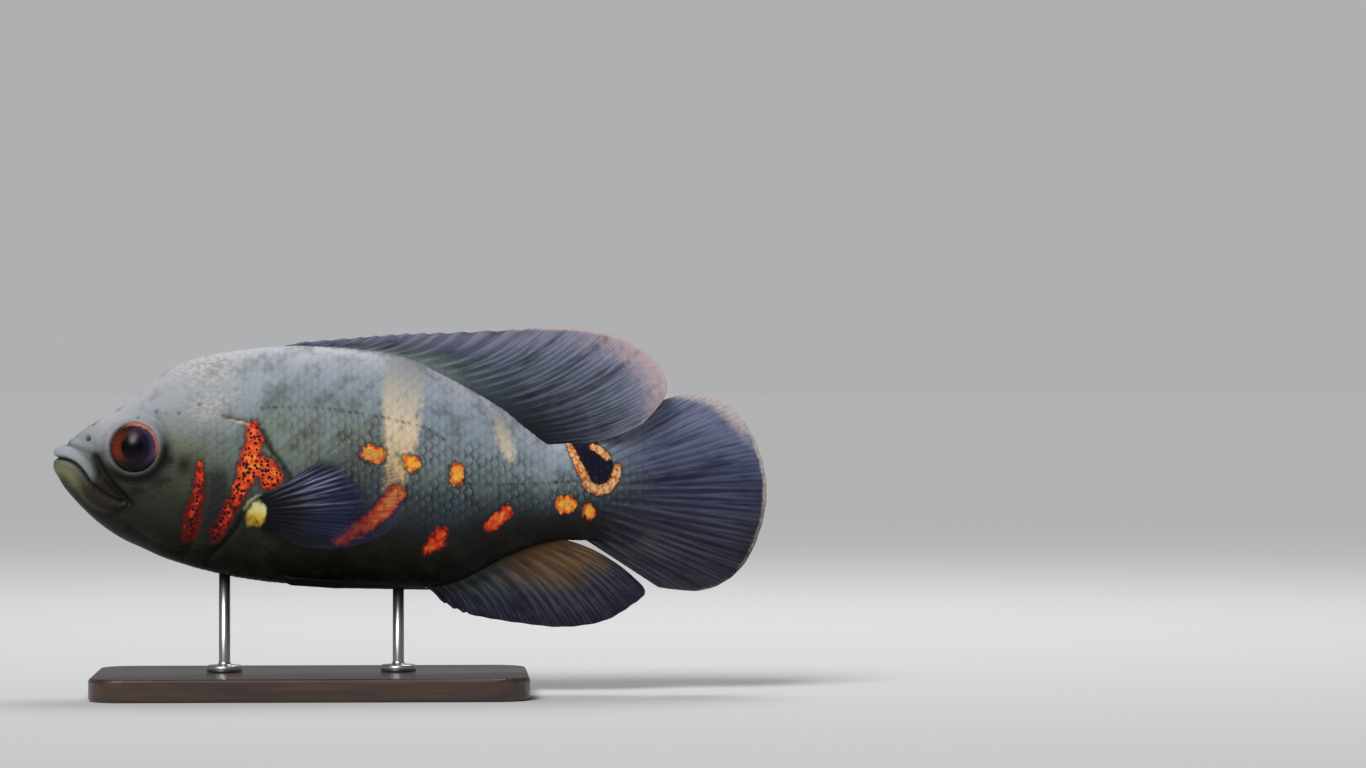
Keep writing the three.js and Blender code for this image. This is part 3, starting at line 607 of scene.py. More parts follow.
def scaled(tree, skin, margin):
    """Lays painted shadow just behind each scale's rear edge, and the scales' pearly middles, over the skin,
    and only faintly over its marks.
    """
    mark = "pale_mark"
    for other in ("bright_mark", "eyespot"):
        mark = add(tree, "Math", {0: mark, 1: other}, operation="MAXIMUM")
    bare = add(tree, "Math", {0: coverage(tree, (mark, 2, -2), 0.7), 1: 0.3}, operation="ADD")
    worn = (speckle(tree, 1.8, 3, (1, 1, 0.4)), 0.3, 0.56)
    net = coverage(tree, "scale_net", "scaly", bare, worn)
    return layered(
        # Painted shadow that each scale's rear edge casts on the scale behind it.
        tree, skin, ("#20272a", (margin, 0.46, 0.04), (speckle(tree, 14, 3), 0.28, 0.6), net),
        ("#a0aca6", (margin, 0.4, 0.7), 0.34, ("level", 0.2, 0.6), net),
    )


def streaked(tree, web, ray_shade):
    """Lays fine uneven streaks which follow the fin's rays over its skin: painted shade in its folds and
    between its rays, and pale rays that are partly their own tone and partly painted light.
    """
    place = add(tree, "CombineXYZ", {"X": "ray_count", "Y": "reach"})
    noises = []
    for scale, detail, roughness in (((1.1, 2.2, 1), 3, 0.6), ((5, 3, 1), 4, 0.7)):
        at = add(tree, "Mapping", {"Vector": place, "Scale": scale})
        noise = {"Vector": at, "Scale": 1, "Detail": detail, "Roughness": roughness}
        noises.append(add(tree, "TexNoise", noise, "Fac"))
    broad, fine = noises
    grown = ("reach", 0.05, 0.3)
    return layered(
        # Painted shade along folds and between the rays, and painted light on the rays, which are also a
        # little paler.
        tree, web, (RAY_FOLD_SHADE, (broad, 0.52, 0.3), 0.6, grown), (RAY_FOLD_SHADE, (fine, 0.5, 0.3), 0.5, grown),
        (ray_shade, (broad, 0.3, 0.62), 0.62, (fine, 0.3, 0.6), "ray", "paleness"),
        ("#0e1018", ("ray", 0.25, 0), 0.3, grown),
    )


def fin_base_colour(tree):
    """The fleshy base of the pectoral fin: yellow, paler towards its top and dark below."""
    level = add(tree, "MapRange", {"Value": broken(tree, "height", 3, 2.5), 1: 23, 2: 38})
    return add(tree, "ValToRGB", {"Fac": level}, ramp=[
        (0.05, "#1d180d"), (0.2, "#9a7a24"), (0.38, "#c9a834"), (0.62, "#cdc487"), (1, "#a9aca2"),
    ])


def living_skin():
    """Wet fish skin over small smooth-edged scales: slate grey, with the soft gloss of a thin slime."""
    def sockets(tree):
        margin = scale_margins(tree)
        wrinkles = speckle(tree, 2.2, 4, (1, 1, 1.7))
        crown = layered(tree, "#c6c0bb", ("#7c7e7a", (wrinkles, 0.6, 0.42), 0.6))
        # The face darkens towards the chin: partly its own colour, partly painted shade of light from above.
        face = add(tree, "ValToRGB", {"Fac": broken(tree, "level", 7, 0.07)}, ramp=[
            (0, "#0f0f08"), (0.14, "#181a10"), (0.32, "#2b2f23"), (0.46, "#464b39"), (0.58, "#666b5a"),
            (0.7, "#7e8382"), (0.84, "#989ba2"), (1, "#adacb0"),
        ])
        flank = layered(tree, flank_colour(tree), (tail_web_colour(tree), "finward"))
        skin = layered(
            tree, streaked(tree, flank, TAIL_RAY_SHADE), (face, "face"),
            ("#262b24", (speckle(tree, 7, 5), 0.46, 0.72), 0.42), (crown, "crown"), ("#5d6865", "snout"),
            # Dark blotches on the cheek, and painted shadow under the eye.
            ("#0e100b", "mottles_and_shade", (speckle(tree, 3.5, 4), 0.2, 0.38)),
        )
        skin = layered(
            tree, scaled(tree, marked(tree, skin), margin), ("#737052", "lower_lip"),
            # The mouth corner's colour is its own reddish brown, darkened as painted shadow.
            ("#949da2", "upper_lip"), ("#2f1c14", "mouth_corner_shade"), ("#e0d095", "gill_slit"),
            (fin_base_colour(tree), (broken(tree, "fin_base", 3, 0.5), 0.3, 0.85)), ("#8e9093", "eyelid"),
            # Painted shade in the skin's folds, slits and pores.
            # The lid's orange-pink rim, shown at its upper rear as a painted highlight.
            ("#c98666", "eye_rim_highlight"), ("#090806", "eye_shadow"), ("#0a0806", "hollow"),
        )
        # The skin's grain is drawn coarser than the real 0.3 mm, so that it shows.
        edges = coverage(tree, (margin, 0, 0.35), 0.5, "scaly")
        grain = add(tree, "Math", {0: speckle(tree, 0.9, 4), 1: 0.3, 2: edges}, operation="MULTIPLY_ADD")
        folds = coverage(tree, "face", wrinkles)
        grain = add(tree, "Math", {0: folds, 1: 0.9, 2: grain}, operation="MULTIPLY_ADD")
        relief = add(tree, "Bump", {"Height": grain, "Strength": 0.5, "Distance": 0.8 * MM})
        gloss = add(tree, "MapRange", {"Value": speckle(tree, 4, 3), 3: 0.5, 4: 0.66})
        return {
            "Base Color": skin, "Roughness": gloss, "IOR": 1.33, "Specular IOR Level": 0.32,
            "Coat Weight": 0.06, "Coat Roughness": 0.16, "Coat IOR": 1.34, "Normal": relief,
        }
    return new_material("wet_scaled_skin", sockets)


def fin_membrane(name, web_colours, rim, ray_shade, warm, clear=0):
    """Thin dull skin stretched over jointed bony rays, which catch the light as fine streaks.

    A fin of the middle line has scales at its root. A paired fin has none, and its outer part is clear.
    """
    def sockets(tree):
        if web_colours:
            stops = list(zip((0.05, 0.3, 0.7, 1), web_colours))
            web = add(tree, "ValToRGB", {"Fac": broken(tree, "reach", 8, 0.09)}, ramp=stops)
        else:
            web = tail_web_colour(tree)
        web = layered(tree, web, (warm, (broken(tree, "warm", 6, 0.35), 0.15, 1)))
        tip = (rim, (broken(tree, "rim", 2.5, 0.3), 0.2, 1), 0.8)
        if clear:
            based = (broken(tree, "fin_base", 3, 0.6), 0.3, 0.85)
            web = layered(tree, streaked(tree, web, ray_shade), (fin_base_colour(tree), based), tip)
        else:
            web = layered(tree, flank_colour(tree), (web, broken(tree, "finward", 5, 0.12)))
            web = scaled(tree, streaked(tree, web, ray_shade), scale_margins(tree))
            web = marked(tree, layered(tree, web, tip))
        joints = coverage(tree, "ray_joint", "ray")
        height = add(tree, "Math", {0: joints, 1: 0.35, 2: "ray"}, operation="MULTIPLY_ADD")
        relief = add(tree, "Bump", {"Height": height, "Strength": 0.3, "Distance": 0.3 * MM})
        result = {
            "Base Color": web, "Roughness": 0.8, "IOR": 1.33, "Specular IOR Level": 0.32, "Normal": relief,
        }
        if clear:
            bony = add(tree, "MapRange", {"Value": "ray", 3: 1, 4: 0.82})
            thin = coverage(tree, (broken(tree, "clearness", 9, 0.1), 0.64, 0.86), bony)
            result["Alpha"] = add(tree, "Math", {0: thin, 1: -clear, 2: 1}, operation="MULTIPLY_ADD")
        return result
    return new_material(name, sockets)


def wet_eye():
    """A living eye: black pupil, dark copper and violet iris, and a wet cornea with a soft glint."""
    def sockets(tree):
        radius = broken(tree, "from_pupil", 1.6, 0.7)
        around = broken(tree, "rearward", 3, 0.14)
        inner, outer = [
            add(tree, "ValToRGB", {"Fac": around}, ramp=stops)
            for stops in (
                [(0.12, "#7c2f13"), (0.35, "#43190f"), (0.6, "#1c1526")],
                [(0.1, "#54261a"), (0.4, "#241614"), (0.75, "#463a5c")],
            )
        ]
        eye = layered(
            tree, inner, (outer, (radius, 6.2, 8)), ("#0c0606", (speckle(tree, 0.8, 4), 0.45, 0.7), 0.6),
            # A painted highlight on the eye's upper rear rim, and painted shade over its lower part.
            ("#c9805c", (radius, 8.3, 9), "lit_rim"), ("#0a0709", "lowness"),
            ("#040206", (radius, 5.4, 3.8)),
        )
        return {"Base Color": eye, "Roughness": 0.26, "IOR": 1.33, "Specular IOR Level": 0.28}
    return new_material("wet_eyeball", sockets)


def lacquered_wood():
    """Stained hardwood under satin lacquer: fine dark grain along the base, with a soft even sheen."""
    def sockets(tree):
        # The grain is drawn at 3 mm, coarser than walnut's, so that it shows.
        place = add(tree, "TexCoord", output="Object")
        place = add(tree, "Mapping", {"Vector": place, "Scale": (0.08, 1, 1)})
        noise = {"Vector": place, "Scale": 1 / (3 * MM), "Detail": 6, "Roughness": 0.62}
        grain = add(tree, "TexNoise", noise, "Fac")
        stain = [(0.3, "#241813"), (0.5, "#3a261b"), (0.72, "#4f3423")]
        return {
            "Base Color": add(tree, "ValToRGB", {"Fac": grain}, ramp=stain), "Roughness": 0.42, "IOR": 1.5,
            "Coat Weight": 0.5, "Coat Roughness": 0.18,
            "Normal": add(tree, "Bump", {"Height": grain, "Strength": 0.12, "Distance": 0.2 * MM}),
        }
    return new_material("lacquered_walnut", sockets)


def satin_steel():
    """Round steel bar, drawn and brushed along its length, with a soft bright streak."""
    def sockets(tree):
        # The brush lines are drawn at 0.5 mm, coarser than the real 0.1 mm, so that they show.
        lines = speckle(tree, 0.5, 4, (1, 1, 0.04))
        shine = add(tree, "MapRange", {"Value": lines, 3: 0.24, 4: 0.4})
        tone = layered(tree, "#a9abad", ("#c9cacc", lines))
        return {"Base Color": tone, "Metallic": 1, "Roughness": shine}
    return new_material("brushed_steel_bar", sockets)


# The body and eyes.

def marks(along, up):
    """The numbers that the colours of the body and its fins are worked out from."""
    red = inside_mark(RED_MARKS, along, up)
    gill = inside_mark(GILL_MARKS, along, up)
    yellow = inside_mark(YELLOW_MARKS, along, up)
    streak = inside_mark(RED_MARKS[:1], along, up)
    low = 0.45 - 0.45 * smoothstep(up, 19, 34)
    low = np.where(streak > red - 0.01, 1.2 - smoothstep(up, 24, 58), low)
    low = np.where(gill > red, 1 - smoothstep(up, 18, 50), low)
    redness = 0.48 * low - 0.19 + 0.09 * (gill > red)
    rows, columns = scale_rows(along, up)
    level = (up - belly(along)) / np.maximum(back(along) - belly(along), 1)
    net = 0.12 + 0.75 * smoothstep(level, 0.86, 0.45) * smoothstep(along, 62, 118)
    return {
        "bright_mark": np.max([red, gill, yellow], axis=0),
        "gill_mark": np.maximum(gill, streak - 1),
        "redness": np.where(yellow > np.maximum(red, gill), -0.42, redness),
        "pale_mark": inside_mark(PALE_MARKS, along, up),
        "gill_groove_shade": inside_mark(GILL_GROOVE_SHADE, along, up),
        "eyespot": inside_mark([OCELLUS_CORE], along, up),
        "eyespot_ring": inside_mark(OCELLUS_RING, along, up),
        "level": level,
        "height": up,
        "olive": smoothstep(along, 70, 84) * (1 - smoothstep(along, 112, 150)) * bell(level - 0.56, 0.24),
        "finward": smoothstep(along + 0.004 * (up - 37) ** 2, 206, 240),
        "scale_rows": rows,
        "scale_columns": columns,
        "scaly": scaly(along, up),
        "scale_net": net * smoothstep(level, 0.12, 0.4),
    }


def hollows(along, up):
    """How much painted shade each place gets for lying in a fold, a slit or a pore, from 0 to 1."""
    nostril = np.hypot(along - NOSTRIL[0], up - NOSTRIL[1])
    pores = np.min([np.hypot(along - x, up - z) for x, z in PORES], axis=0)
    tubes = bell(from_lateral_line(along, up), 0.55) * (np.sin(along * 2 * np.pi / SCALE_LENGTH) > -0.1)
    cheek = distance_to(CHEEK_CREASE, along, up)
    mouth = bell(distance_to(MOUTH, along, up), 0.75) * (1 - 0.6 * smoothstep(along, 12, 20))
    behind_gills = bell(gill_edge_ahead(along, up) + 0.9, 0.9) * (1 - smoothstep(up, 60, 66))
    return np.max([
        mouth, bell(cheek, 3.2) * 0.97, bell(cheek, 6) * 0.5, bell(nostril, 1), bell(pores, 0.6) * 0.8,
        tubes * 0.7, behind_gills * 0.85, bell(distance_to(GILL_SLIT, along, up), 0.5) * 0.8,
        bell(distance_to(LIP_CREASE, along, up), 0.9) * 0.5,
    ], axis=0)


def face_tones(along, up):
    """How far each of the head's own colours, and the painted shade and highlight of its face, covers each
    place, from 0 to 1.
    """
    behind_eye, over_eye = along - EYE[0], up - EYE[1]
    past_lid = np.hypot(behind_eye, over_eye) - EYELID_RADIUS
    under_eye = smoothstep(0.5 * behind_eye - over_eye, -2, 7)
    temple = oval(along, up - 0.3 * (along - 64), TEMPLE_PATCH)
    ahead = gill_edge_ahead(along, up)
    return {
        "face": 1 - smoothstep(along + (up - 50) * 0.3, 50, 92),
        "snout": 0.45 * oval(along, up, SNOUT_PATCH),
        "crown": np.maximum(0.68 * oval(along, up, NAPE_PATCH), 0.55 * temple),
        # Dark blotches on the cheek, and painted shadow under the eye.
        "mottles_and_shade": 0.95 * np.max([oval(along, up, patch) for patch in CHEEK_MOTTLES_AND_SHADE], axis=0),
        "fin_base": bell(distance_to(FIN_BASE, along, up), 4.4) * smoothstep(ahead, 2.2, 0.4),
        "lower_lip": bell(distance_to(LOWER_LIP, along, up + 0.8), 2.6) * (1 - smoothstep(along, 7, 14)),
        "upper_lip": bell(distance_to(UPPER_LIP, along, up), 2.5) * (1 - smoothstep(along, 14, 19)),
        # The mouth corner: reddish brown, darkened as painted shadow.
        "mouth_corner_shade": 0.92 * oval(along, up, MOUTH_CORNER_SHADE),
        "gill_slit": bell(distance_to(GILL_SLIT, along, up + 0.6), 0.45) * smoothstep(along, 67, 72),
        "eyelid": bell(past_lid - 0.9, 1.3) * (0.45 + 0.3 * np.clip(over_eye / 9, -1, 1)),
        # An orange-pink rim at the lid's edge, shown only at its upper rear as a painted highlight.
        "eye_rim_highlight": 0.8 * bell(past_lid + 0.1, 0.6) * smoothstep(behind_eye + over_eye, 0, 9),
        "eye_shadow": 0.95 * bell(past_lid - 2.9, 2.7) * under_eye,
    }


def make_skin(material):
    """One skin over the head, jaw, gill covers, trunk and tail stalk, without a seam."""
    bm = bmesh.new()
    bmesh.ops.create_uvsphere(bm, u_segments=316, v_segments=306, radius=1)
    ball = vertex_places(bm)
    share = np.arccos(np.clip(ball[:, 2], -1, 1)) / np.pi
    angle = np.arctan2(ball[:, 1], ball[:, 0])
    along = BODY_END * share ** 1.5
    set_places(bm, body_skin(along, angle, skin_relief))
    bmesh.ops.recalc_face_normals(bm, faces=bm.faces)
    piece = finished("skin", bm, SKIN_NODES, material)
    up = body_form(along, angle)[:, 2]
    across, out = place_on_tail(along, up)
    note(
        piece, hollow=hollows(along, up), ray=tail_rays(along, up), ray_count=across * TAIL_RAYS, reach=out,
        paleness=tail_paleness(up), **face_tones(along, up), **marks(along, up),
    )


def eye_seat():
    """Where the left eye sits, and the way it faces, in the model's frame."""
    along = np.array([EYE[0]])
    middle = widest(along)
    share = (EYE[1] - middle) / (back(along) - middle)
    angle = np.arccos(share ** (upper_roundness(along) / 2))
    return Vector(body_skin(along, angle)[0]), Vector(body_normal(along, angle)[0])


def make_eye(side, name, material):
    place, facing = eye_seat()
    bm = bmesh.new()
    bmesh.ops.create_uvsphere(bm, u_segments=96, v_segments=64, radius=1)
    ball = vertex_places(bm)
    from_axis = np.hypot(ball[:, 0], ball[:, 1]) * EYE_RADIUS
    cornea = 1 + CORNEA_BULGE * bell(from_axis, CORNEA_RADIUS) * (ball[:, 2] > 0)
    ball[:, :2] *= EYE_RADIUS * MM
    ball[:, 2] *= EYE_DEPTH * cornea * MM
    set_places(bm, ball)
    turn = facing.to_track_quat("Z", "Y").to_matrix().to_4x4()
    seat = Matrix.Translation(place - facing * EYE_SUNK * MM)
    bmesh.ops.transform(bm, matrix=seat @ turn, verts=bm.verts)
    if side > 0:
        bmesh.ops.scale(bm, vec=(1, -1, 1), verts=bm.verts)
    bmesh.ops.recalc_face_normals(bm, faces=bm.faces)
    rearward = (vertex_places(bm)[:, 0] - place[0]) / (EYE_RADIUS * MM)
    raised = (vertex_places(bm)[:, 2] - place[2]) / (EYE_RADIUS * MM)
    piece = finished(f"{name}_eyeball", bm, [f"eye_{name}"], material)
    note(
        piece, from_pupil=from_axis, rearward=0.5 + 0.5 * rearward,
        # Painted shade on the eye's lower part, and a painted highlight on its upper rear rim.
        lowness=0.9 * smoothstep(-raised, 0.15, 0.75),
        lit_rim=0.85 * smoothstep(rearward + raised, 0.2, 1.1),
    )


# The fins.

def ray_pattern(count, reach, spines):
    """The rays' relief, from 0 to 1, at a place counted in rays. Soft rays fork twice on their way out."""
    aside = count - np.floor(count) - 0.5
    soft = (count > spines).astype(float)
    first = 0.24 * smoothstep(reach, 0.15, 0.6) * soft
    second = 0.12 * smoothstep(reach, 0.5, 0.95) * soft
    wide = 0.15 - 0.08 * smoothstep(reach, 0.2, 0.8) * soft
    twigs = [bell(aside - a * first - b * second, wide) for a in (-1, 1) for b in (-1, 1)]
    return np.max(twigs, axis=0)


def notched(across, rays, depth):
    """How far the edge draws back between its rays: most, by depth, half-way between two."""
    return np.abs(2 * ((across * rays) % 1) - 1) * depth


def make_fin(name, node, grid, place, foot, rays, spines, material, extras):
    """A fin as a closed sheet. place gives its middle surface, and foot thickens its root."""
    bm = bmesh.new()
    bmesh.ops.create_grid(bm, x_segments=grid[0], y_segments=grid[1], size=1)
    copy = bmesh.ops.duplicate(bm, geom=bm.verts[:] + bm.edges[:] + bm.faces[:])["geom"]
    bmesh.ops.reverse_faces(bm, faces=[part for part in copy if isinstance(part, bmesh.types.BMFace)])
    lower = [part for part in copy if isinstance(part, bmesh.types.BMVert)]
    bmesh.ops.translate(bm, vec=(0, 0, -0.01), verts=lower)
    bmesh.ops.bridge_loops(bm, edges=[edge for edge in bm.edges if edge.is_boundary])
    flat = vertex_places(bm)
    across, out = (flat[:, 0] + 1) / 2, (flat[:, 1] + 1) / 2
    side = np.where(flat[:, 2] < -0.005, -0.5, 0.5)
    step = 1e-3
    sideways = place(across + step, out) - place(across - step, out)
    outwards = place(across, out + step) - place(across, out - step)
    normal = np.cross(sideways, outwards)
    normal /= np.maximum(np.linalg.norm(normal, axis=1, keepdims=True), 1e-12)
    ray = ray_pattern(across * rays, out, spines)
    raised = smoothstep(out, 0.08, 0.3) * (1 - 0.55 * out) * smoothstep(1.02 - out, 0, 0.06)
    extra, starts, ends, fall = foot
    thick = MEMBRANE + extra * (1 - smoothstep(out, starts, ends)) ** fall + RAY_RELIEF * ray * raised
    middle = place(across, out)
    set_places(bm, middle + normal * (side * thick * MM)[:, None])
    piece = finished(name, bm, [node], material)
    along = middle[:, 0] / MM - SNOUT_X
    up = middle[:, 2] / MM - BELLY_Z
    note(piece, **{
        "ray": ray * smoothstep(out, 0.05, 0.25), "reach": out, "ray_count": across * rays, "clearness": out,
        "ray_joint": np.sin(out * 2 * np.pi * RAY_JOINTS) * smoothstep(out, 0.25, 0.45),
        "rim": 0.4 * smoothstep(out, 0.96, 1), "warm": 0, "paleness": 0.75, "fin_base": 0,
        **marks(along, up), "pale_mark": NO_MARK, "gill_groove_shade": NO_MARK, **extras(across, out, up),
    })


def median_place(root, edge, rays, spines, sunk, bow, lean=0):
    """The middle surface of a fin on the middle line. Its rays bow, and its rear part leans to the left."""
    root_at, edge_at = rounded_line(root), rounded_line(edge)

    def place(across, out):
        start, end = root_at(across), edge_at(across)
        ray = end - start
        length = np.linalg.norm(ray, axis=1)
        notch = notched(across, rays, np.where(across * rays < spines, SPINE_NOTCH, SOFT_NOTCH))
        reach = (out * (length + sunk - notch) - sunk) / length
        grown = np.maximum(reach, 0)
        turned = np.stack([-ray[:, 1], ray[:, 0]], -1)
        at = start + ray * reach[:, None] + turned * (bow * 2 * grown * (1 - reach))[:, None]
        ripple = 0.35 * np.sin(across * rays * 0.9 + 2.2 * reach) * grown ** 2
        leaning = -lean * smoothstep(across, 0.35, 1) * grown * length / 50
        return in_frame(at[:, 0], leaning + ripple, at[:, 1])

    return place


def make_dorsal_fin(material):
    def extras(across, out, up):
        root = 0.16 + 0.26 * (1 - smoothstep(across, 0.3, 0.75))
        broad = 0.75 * smoothstep(out, 0.68, 1) * smoothstep(across, 0.4, 0.7)
        broad = broad * (1 - 0.5 * smoothstep(across, 0.86, 1))
        dull_root = 0.45 * smoothstep(across, 0.45, 0.8) * (1 - smoothstep(out, 0.2, 0.7))
        return {
            "warm": smoothstep(across, 0.45, 0.8) * (1 - out),
            "finward": smoothstep(out, root - 0.14, root + 0.16),
            "level": 0.54 - 0.28 * smoothstep(across, 0.3, 0.8),
            "rim": np.maximum(broad, 0.9 * smoothstep(out, 0.955, 0.99)) * smoothstep(across, 0.3, 0.5),
            "paleness": 0.6 - dull_root - 0.3 * (1 - smoothstep(across, 0.2, 0.45)),
            "eyespot": NO_MARK, "eyespot_ring": NO_MARK,
            "scaly": 1 - smoothstep(out, 0, root), "scale_net": 0.3,
        }
    rays = (DORSAL_RAYS, DORSAL_SPINES)
    place = median_place(DORSAL_ROOT, DORSAL_EDGE, *rays, ROOT_SUNK, -0.16, DORSAL_LEAN)
    grid = (12 * DORSAL_RAYS, 90)
    make_fin("dorsal_web", "dorsal_fin", grid, place, (3.2, 0.05, 0.3, 2), *rays, material, extras)


def make_anal_fin(material):
    def extras(across, out, up):
        return {
            "warm": smoothstep(across, 0.3, 0.65) * bell(out - 0.26, 0.4),
            "finward": smoothstep(out, 0, 0.14), "level": 0.2 + 0.5 * out,
            "rim": 0.25 * smoothstep(out, 0.97, 0.99), "paleness": 0.8 - 0.5 * out,
        }
    rays = (ANAL_RAYS, ANAL_SPINES)
    place = median_place(ANAL_ROOT, ANAL_EDGE, *rays, ROOT_SUNK, 0.14)
    grid = (14 * ANAL_RAYS, 90)
    make_fin("anal_web", "anal_fin", grid, place, (3.2, 0.05, 0.3, 2), *rays, material, extras)


def tail_paleness(up):
    """How strongly the tail's rays show pale, partly their own tone and partly painted light: more in its
    upper half.
    """
    return 0.42 + 0.43 * smoothstep(up, 5, 62)


def make_tail_fin(material):
    def extras(across, out, up):
        broad = 0.9 * smoothstep(out, 0.85, 0.99) * (1 - smoothstep(across, 0.24, 0.45))
        thin = (0.75 - 0.4 * smoothstep(across, 0.4, 0.8)) * smoothstep(out, 0.965, 0.99)
        return {
            "warm": smoothstep(across, 0.55, 0.8) * (1 - smoothstep(out, 0.4, 0.95)),
            "rim": np.maximum(broad * smoothstep(across, 0, 0.1), thin), "paleness": tail_paleness(up),
        }
    place = median_place(TAIL_ROOT, TAIL_EDGE, TAIL_RAYS, 0, TAIL_SUNK, 0)
    grid = (14 * TAIL_RAYS, 110)
    make_fin("tail_web", "tail_fin", grid, place, (1.7, 0.05, 0.5, 2), TAIL_RAYS, 0, material, extras)


def make_pectoral_fin(side, name, material):
    root_at, edge_at = rounded_line(PECTORAL_ROOT), rounded_line(PECTORAL_EDGE)

    def place(across, out):
        start, end = root_at(across), edge_at(across)
        ray = end - start
        length = np.linalg.norm(ray, axis=1)
        reach = (out * (length + ROOT_SUNK - notched(across, PECTORAL_RAYS, 0.3)) - ROOT_SUNK) / length
        grown = np.maximum(reach, 0)
        at = start + ray * reach[:, None]
        away = reach * length
        cup = 2.2 * np.sin(np.pi * np.clip(across, 0, 1)) * grown
        flare = away * PECTORAL_FLARE / 50 - 0.0022 * away * away + cup - 5 * (1 - across) * grown
        return in_frame(at[:, 0], side * (HALF_WIDTH - 1.5 + flare), at[:, 1])

    def extras(across, out, up):
        streak = bell(across - 0.14, 0.12) + 0.4 * bell(across - 0.36, 0.07)
        lower_part = smoothstep(across, 0.5, 0.85) * (1 - smoothstep(out, 0.6, 1))
        return {
            "paleness": 0.04 + 1.5 * streak * bell(out - 0.46, 0.2),
            "warm": np.maximum(1 - smoothstep(out, 0.2, 0.5), lower_part),
            "fin_base": (1 - smoothstep(out, 0.05, 0.12)) * bell(across - 0.4, 0.5),
            "clearness": out + 0.1 * (1 - across),
        }
    make_fin(
        f"{name}_pectoral_web", f"pectoral_fin_{name}", (14 * PECTORAL_RAYS, 90), place, (2.6, 0.06, 0.3, 1),
        PECTORAL_RAYS, 0, material, extras,
    )


def make_pelvic_fin(side, name, material):
    def place(across, out):
        length = PELVIC_INNER_LENGTH + (PELVIC_LENGTH - PELVIC_INNER_LENGTH) * np.maximum(across, 0) ** 1.3
        away = out * (length - notched(across, PELVIC_RAYS, 0.5))
        inner, outer = 0.2 + 0.06 * out, 0.42 + 0.08 * out
        turn = inner + (outer - inner) * across
        lift = -ROOT_SUNK + (1.2 + ROOT_SUNK) * smoothstep(away, 0, 9)
        lift = lift + PELVIC_DROP * (np.maximum(away, 0) / PELVIC_LENGTH) ** 2
        return body_skin(PELVIC_ROOT + away, np.pi + side * turn, grow=lift)

    make_fin(
        f"{name}_pelvic_web", f"pelvic_fin_{name}", (16 * PELVIC_RAYS, 80), place, (1.6, 0.02, 0.3, 1),
        PELVIC_RAYS, 1, material, lambda across, out, up: {"paleness": 0.4},
    )


# The stand.

def make_base(material):
    bm = bmesh.new()
    bmesh.ops.create_cube(bm, size=1)
    bmesh.ops.scale(bm, vec=Vector((BASE_LENGTH, BASE_WIDTH, BASE_THICKNESS)) * MM, verts=bm.verts)
    centre = Vector((SNOUT_X + (FRONT_ROD + REAR_ROD) / 2, 0, BASE_THICKNESS / 2)) * MM
    bmesh.ops.translate(bm, vec=centre, verts=bm.verts)
    corners = [e for e in bm.edges if abs(e.verts[0].co.z - e.verts[1].co.z) > MM]
    bmesh.ops.bevel(
        bm, geom=corners, offset=BASE_CORNER * MM, segments=10, affect="EDGES", profile=0.5, material=-1,
    )
    level = [e for e in bm.edges if len(e.link_faces) == 2 and e.calc_face_angle(0) > 1]
    bmesh.ops.bevel(
        bm, geom=level, offset=BASE_EDGE * MM, segments=4, affect="EDGES", profile=0.5, material=-1,
    )
    finished("base_board", bm, ["stand_base"], material, smooth=False)


def make_rod(along, name, material):
    foot = BASE_THICKNESS + GAP
    top = BELLY_Z + float(belly(along)) + 0.5
    h = foot + ROD_FOOT_HEIGHT
    profile = [
        (0, foot), (ROD_FOOT_RADIUS, foot), (ROD_FOOT_RADIUS, h - 0.9), (ROD_FOOT_RADIUS - 0.3, h - 0.3),
        (ROD_FOOT_RADIUS - 0.9, h), (ROD_RADIUS + 1, h), (ROD_RADIUS + 0.3, h + 0.4), (ROD_RADIUS, h + 1.4),
        (ROD_RADIUS, top), (0, top),
    ]
    bm = bmesh.new()
    points = [bm.verts.new((radius * MM, 0, height * MM)) for radius, height in profile]
    edges = [bm.edges.new(pair) for pair in zip(points[:-1], points[1:])]
    bmesh.ops.spin(
        bm, geom=points + edges, cent=(0, 0, 0), axis=(0, 0, 1), dvec=(0, 0, 0), angle=2 * np.pi, steps=40,
        use_merge=True,
    )
    bmesh.ops.remove_doubles(bm, verts=bm.verts, dist=1e-6)
    bmesh.ops.recalc_face_normals(bm, faces=bm.faces)
    bmesh.ops.translate(bm, vec=Vector((SNOUT_X + along, float(swing(along)), 0)) * MM, verts=bm.verts)
    finished(f"{name}_support_rod", bm, [f"stand_rod_{name}"], material)


# The setting.

def make_floor():
    bm = bmesh.new()
    bmesh.ops.create_grid(bm, x_segments=1, y_segments=1, size=60)
    mesh = bpy.data.meshes.new("floor")
    bm.to_mesh(mesh)
    bm.free()
    floor = bpy.data.objects.new("floor", mesh)
    bpy.context.collection.objects.link(floor)
    mesh.materials.append(new_material("matte_paint", lambda tree: {
        "Base Color": "#c6c6c6", "Roughness": 1, "Specular IOR Level": 0,
    }))


def make_light(name, kind, place, power, **settings):
    """A lamp that faces the fish."""
    lamp = bpy.data.lights.new(name, kind)
    lamp.energy = power
    for setting, value in settings.items():
        setattr(lamp, setting, value)
    made = bpy.data.objects.new(name, lamp)
    made.location = place
    made.rotation_euler = (Vector((0, 0, 0.09)) - Vector(place)).to_track_quat("-Z", "Y").to_euler()
    bpy.context.collection.objects.link(made)


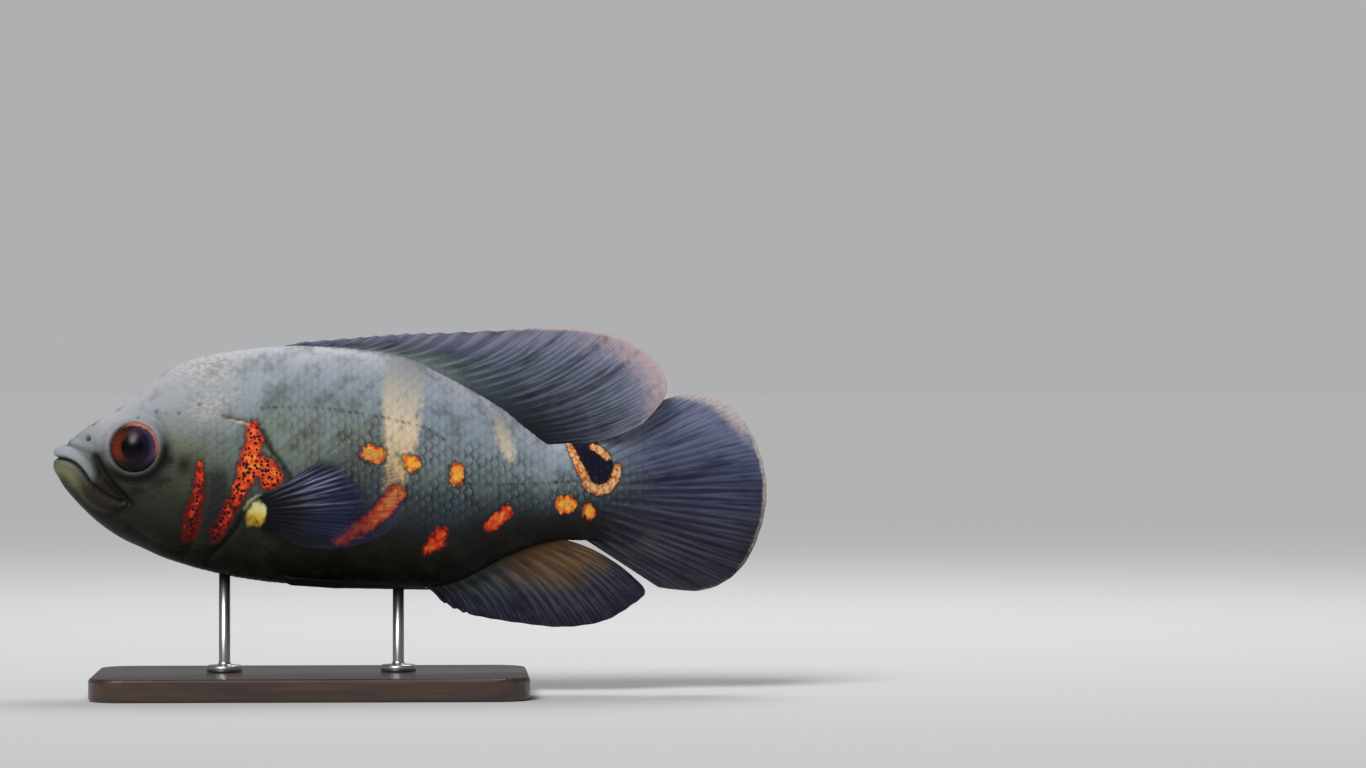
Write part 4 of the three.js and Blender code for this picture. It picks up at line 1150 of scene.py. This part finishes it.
def make_setting():
    """A pale floor under a sky of its own tone, a broad soft key light, and a light along the back."""
    make_floor()
    world = bpy.data.worlds.new("studio")
    world.use_nodes = True
    tree = world.node_tree
    tree.nodes.clear()
    seen = add(tree, "LightPath", output="Is Camera Ray")
    sky = add(tree, "Background", {"Color": layered(tree, "#767779", ("#afb0b2", seen))})
    add(tree, "OutputWorld", {"Surface": sky})
    bpy.context.scene.world = world
    bpy.context.scene.view_settings.view_transform = "Standard"
    make_light("key", "SUN", (-0.5, -1, 1.2), 2.7, angle=0.45)
    make_light("rim", "AREA", (0.2, 0.7, 1.2), 9, shape="DISK", size=0.7)


def make_camera():
    camera = bpy.data.cameras.new("camera")
    camera.lens = LENS
    camera.clip_start = 0.05
    made = bpy.data.objects.new("camera", camera)
    made.location = Vector((0, -CAMERA_DISTANCE, CAMERA_HEIGHT)) * MM
    made.rotation_euler = (np.radians(90), 0, -np.radians(CAMERA_TURN))
    bpy.context.collection.objects.link(made)
    bpy.context.scene.camera = made


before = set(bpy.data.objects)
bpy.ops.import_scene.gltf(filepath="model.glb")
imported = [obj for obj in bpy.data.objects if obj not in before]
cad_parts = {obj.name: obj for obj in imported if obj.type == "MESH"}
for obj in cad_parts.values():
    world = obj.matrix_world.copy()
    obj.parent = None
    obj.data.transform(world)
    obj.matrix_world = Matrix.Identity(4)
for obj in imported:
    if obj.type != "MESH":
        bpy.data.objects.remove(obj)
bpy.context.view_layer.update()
make_camera()
make_setting()
make_skin(living_skin())
make_dorsal_fin(fin_membrane(
    "dorsal_membrane", ("#3a4148", "#414856", "#656b7e", "#858499"), rim="#c9afab", ray_shade="#8f96a8",
    warm="#20212a",
))
make_anal_fin(fin_membrane(
    "anal_membrane", ("#41463c", "#394043", "#232235", "#15122a"), rim="#4b4659", ray_shade="#6d716a",
    warm="#64482a",
))
make_tail_fin(fin_membrane("tail_membrane", None, rim="#cdc0b9", ray_shade=TAIL_RAY_SHADE, warm="#39323a"))
pectoral = fin_membrane(
    "pectoral_membrane", ("#080a14", "#0e1124", "#1b203e", "#353b60"), rim="#565a72", ray_shade="#a9aec8",
    warm="#05050b", clear=0.96,
)
pelvic = fin_membrane(
    "pelvic_membrane", ("#0a0908", "#0c0c10", "#121320", "#181b30"), rim="#2d3142", ray_shade="#232838",
    warm="#0a0908", clear=0.1,
)
eye = wet_eye()
for side, name in ((-1, "left"), (1, "right")):
    make_eye(side, name, eye)
    make_pectoral_fin(side, name, pectoral)
    make_pelvic_fin(side, name, pelvic)
make_base(lacquered_wood())
steel = satin_steel()
make_rod(FRONT_ROD, "front", steel)
make_rod(REAR_ROD, "rear", steel)
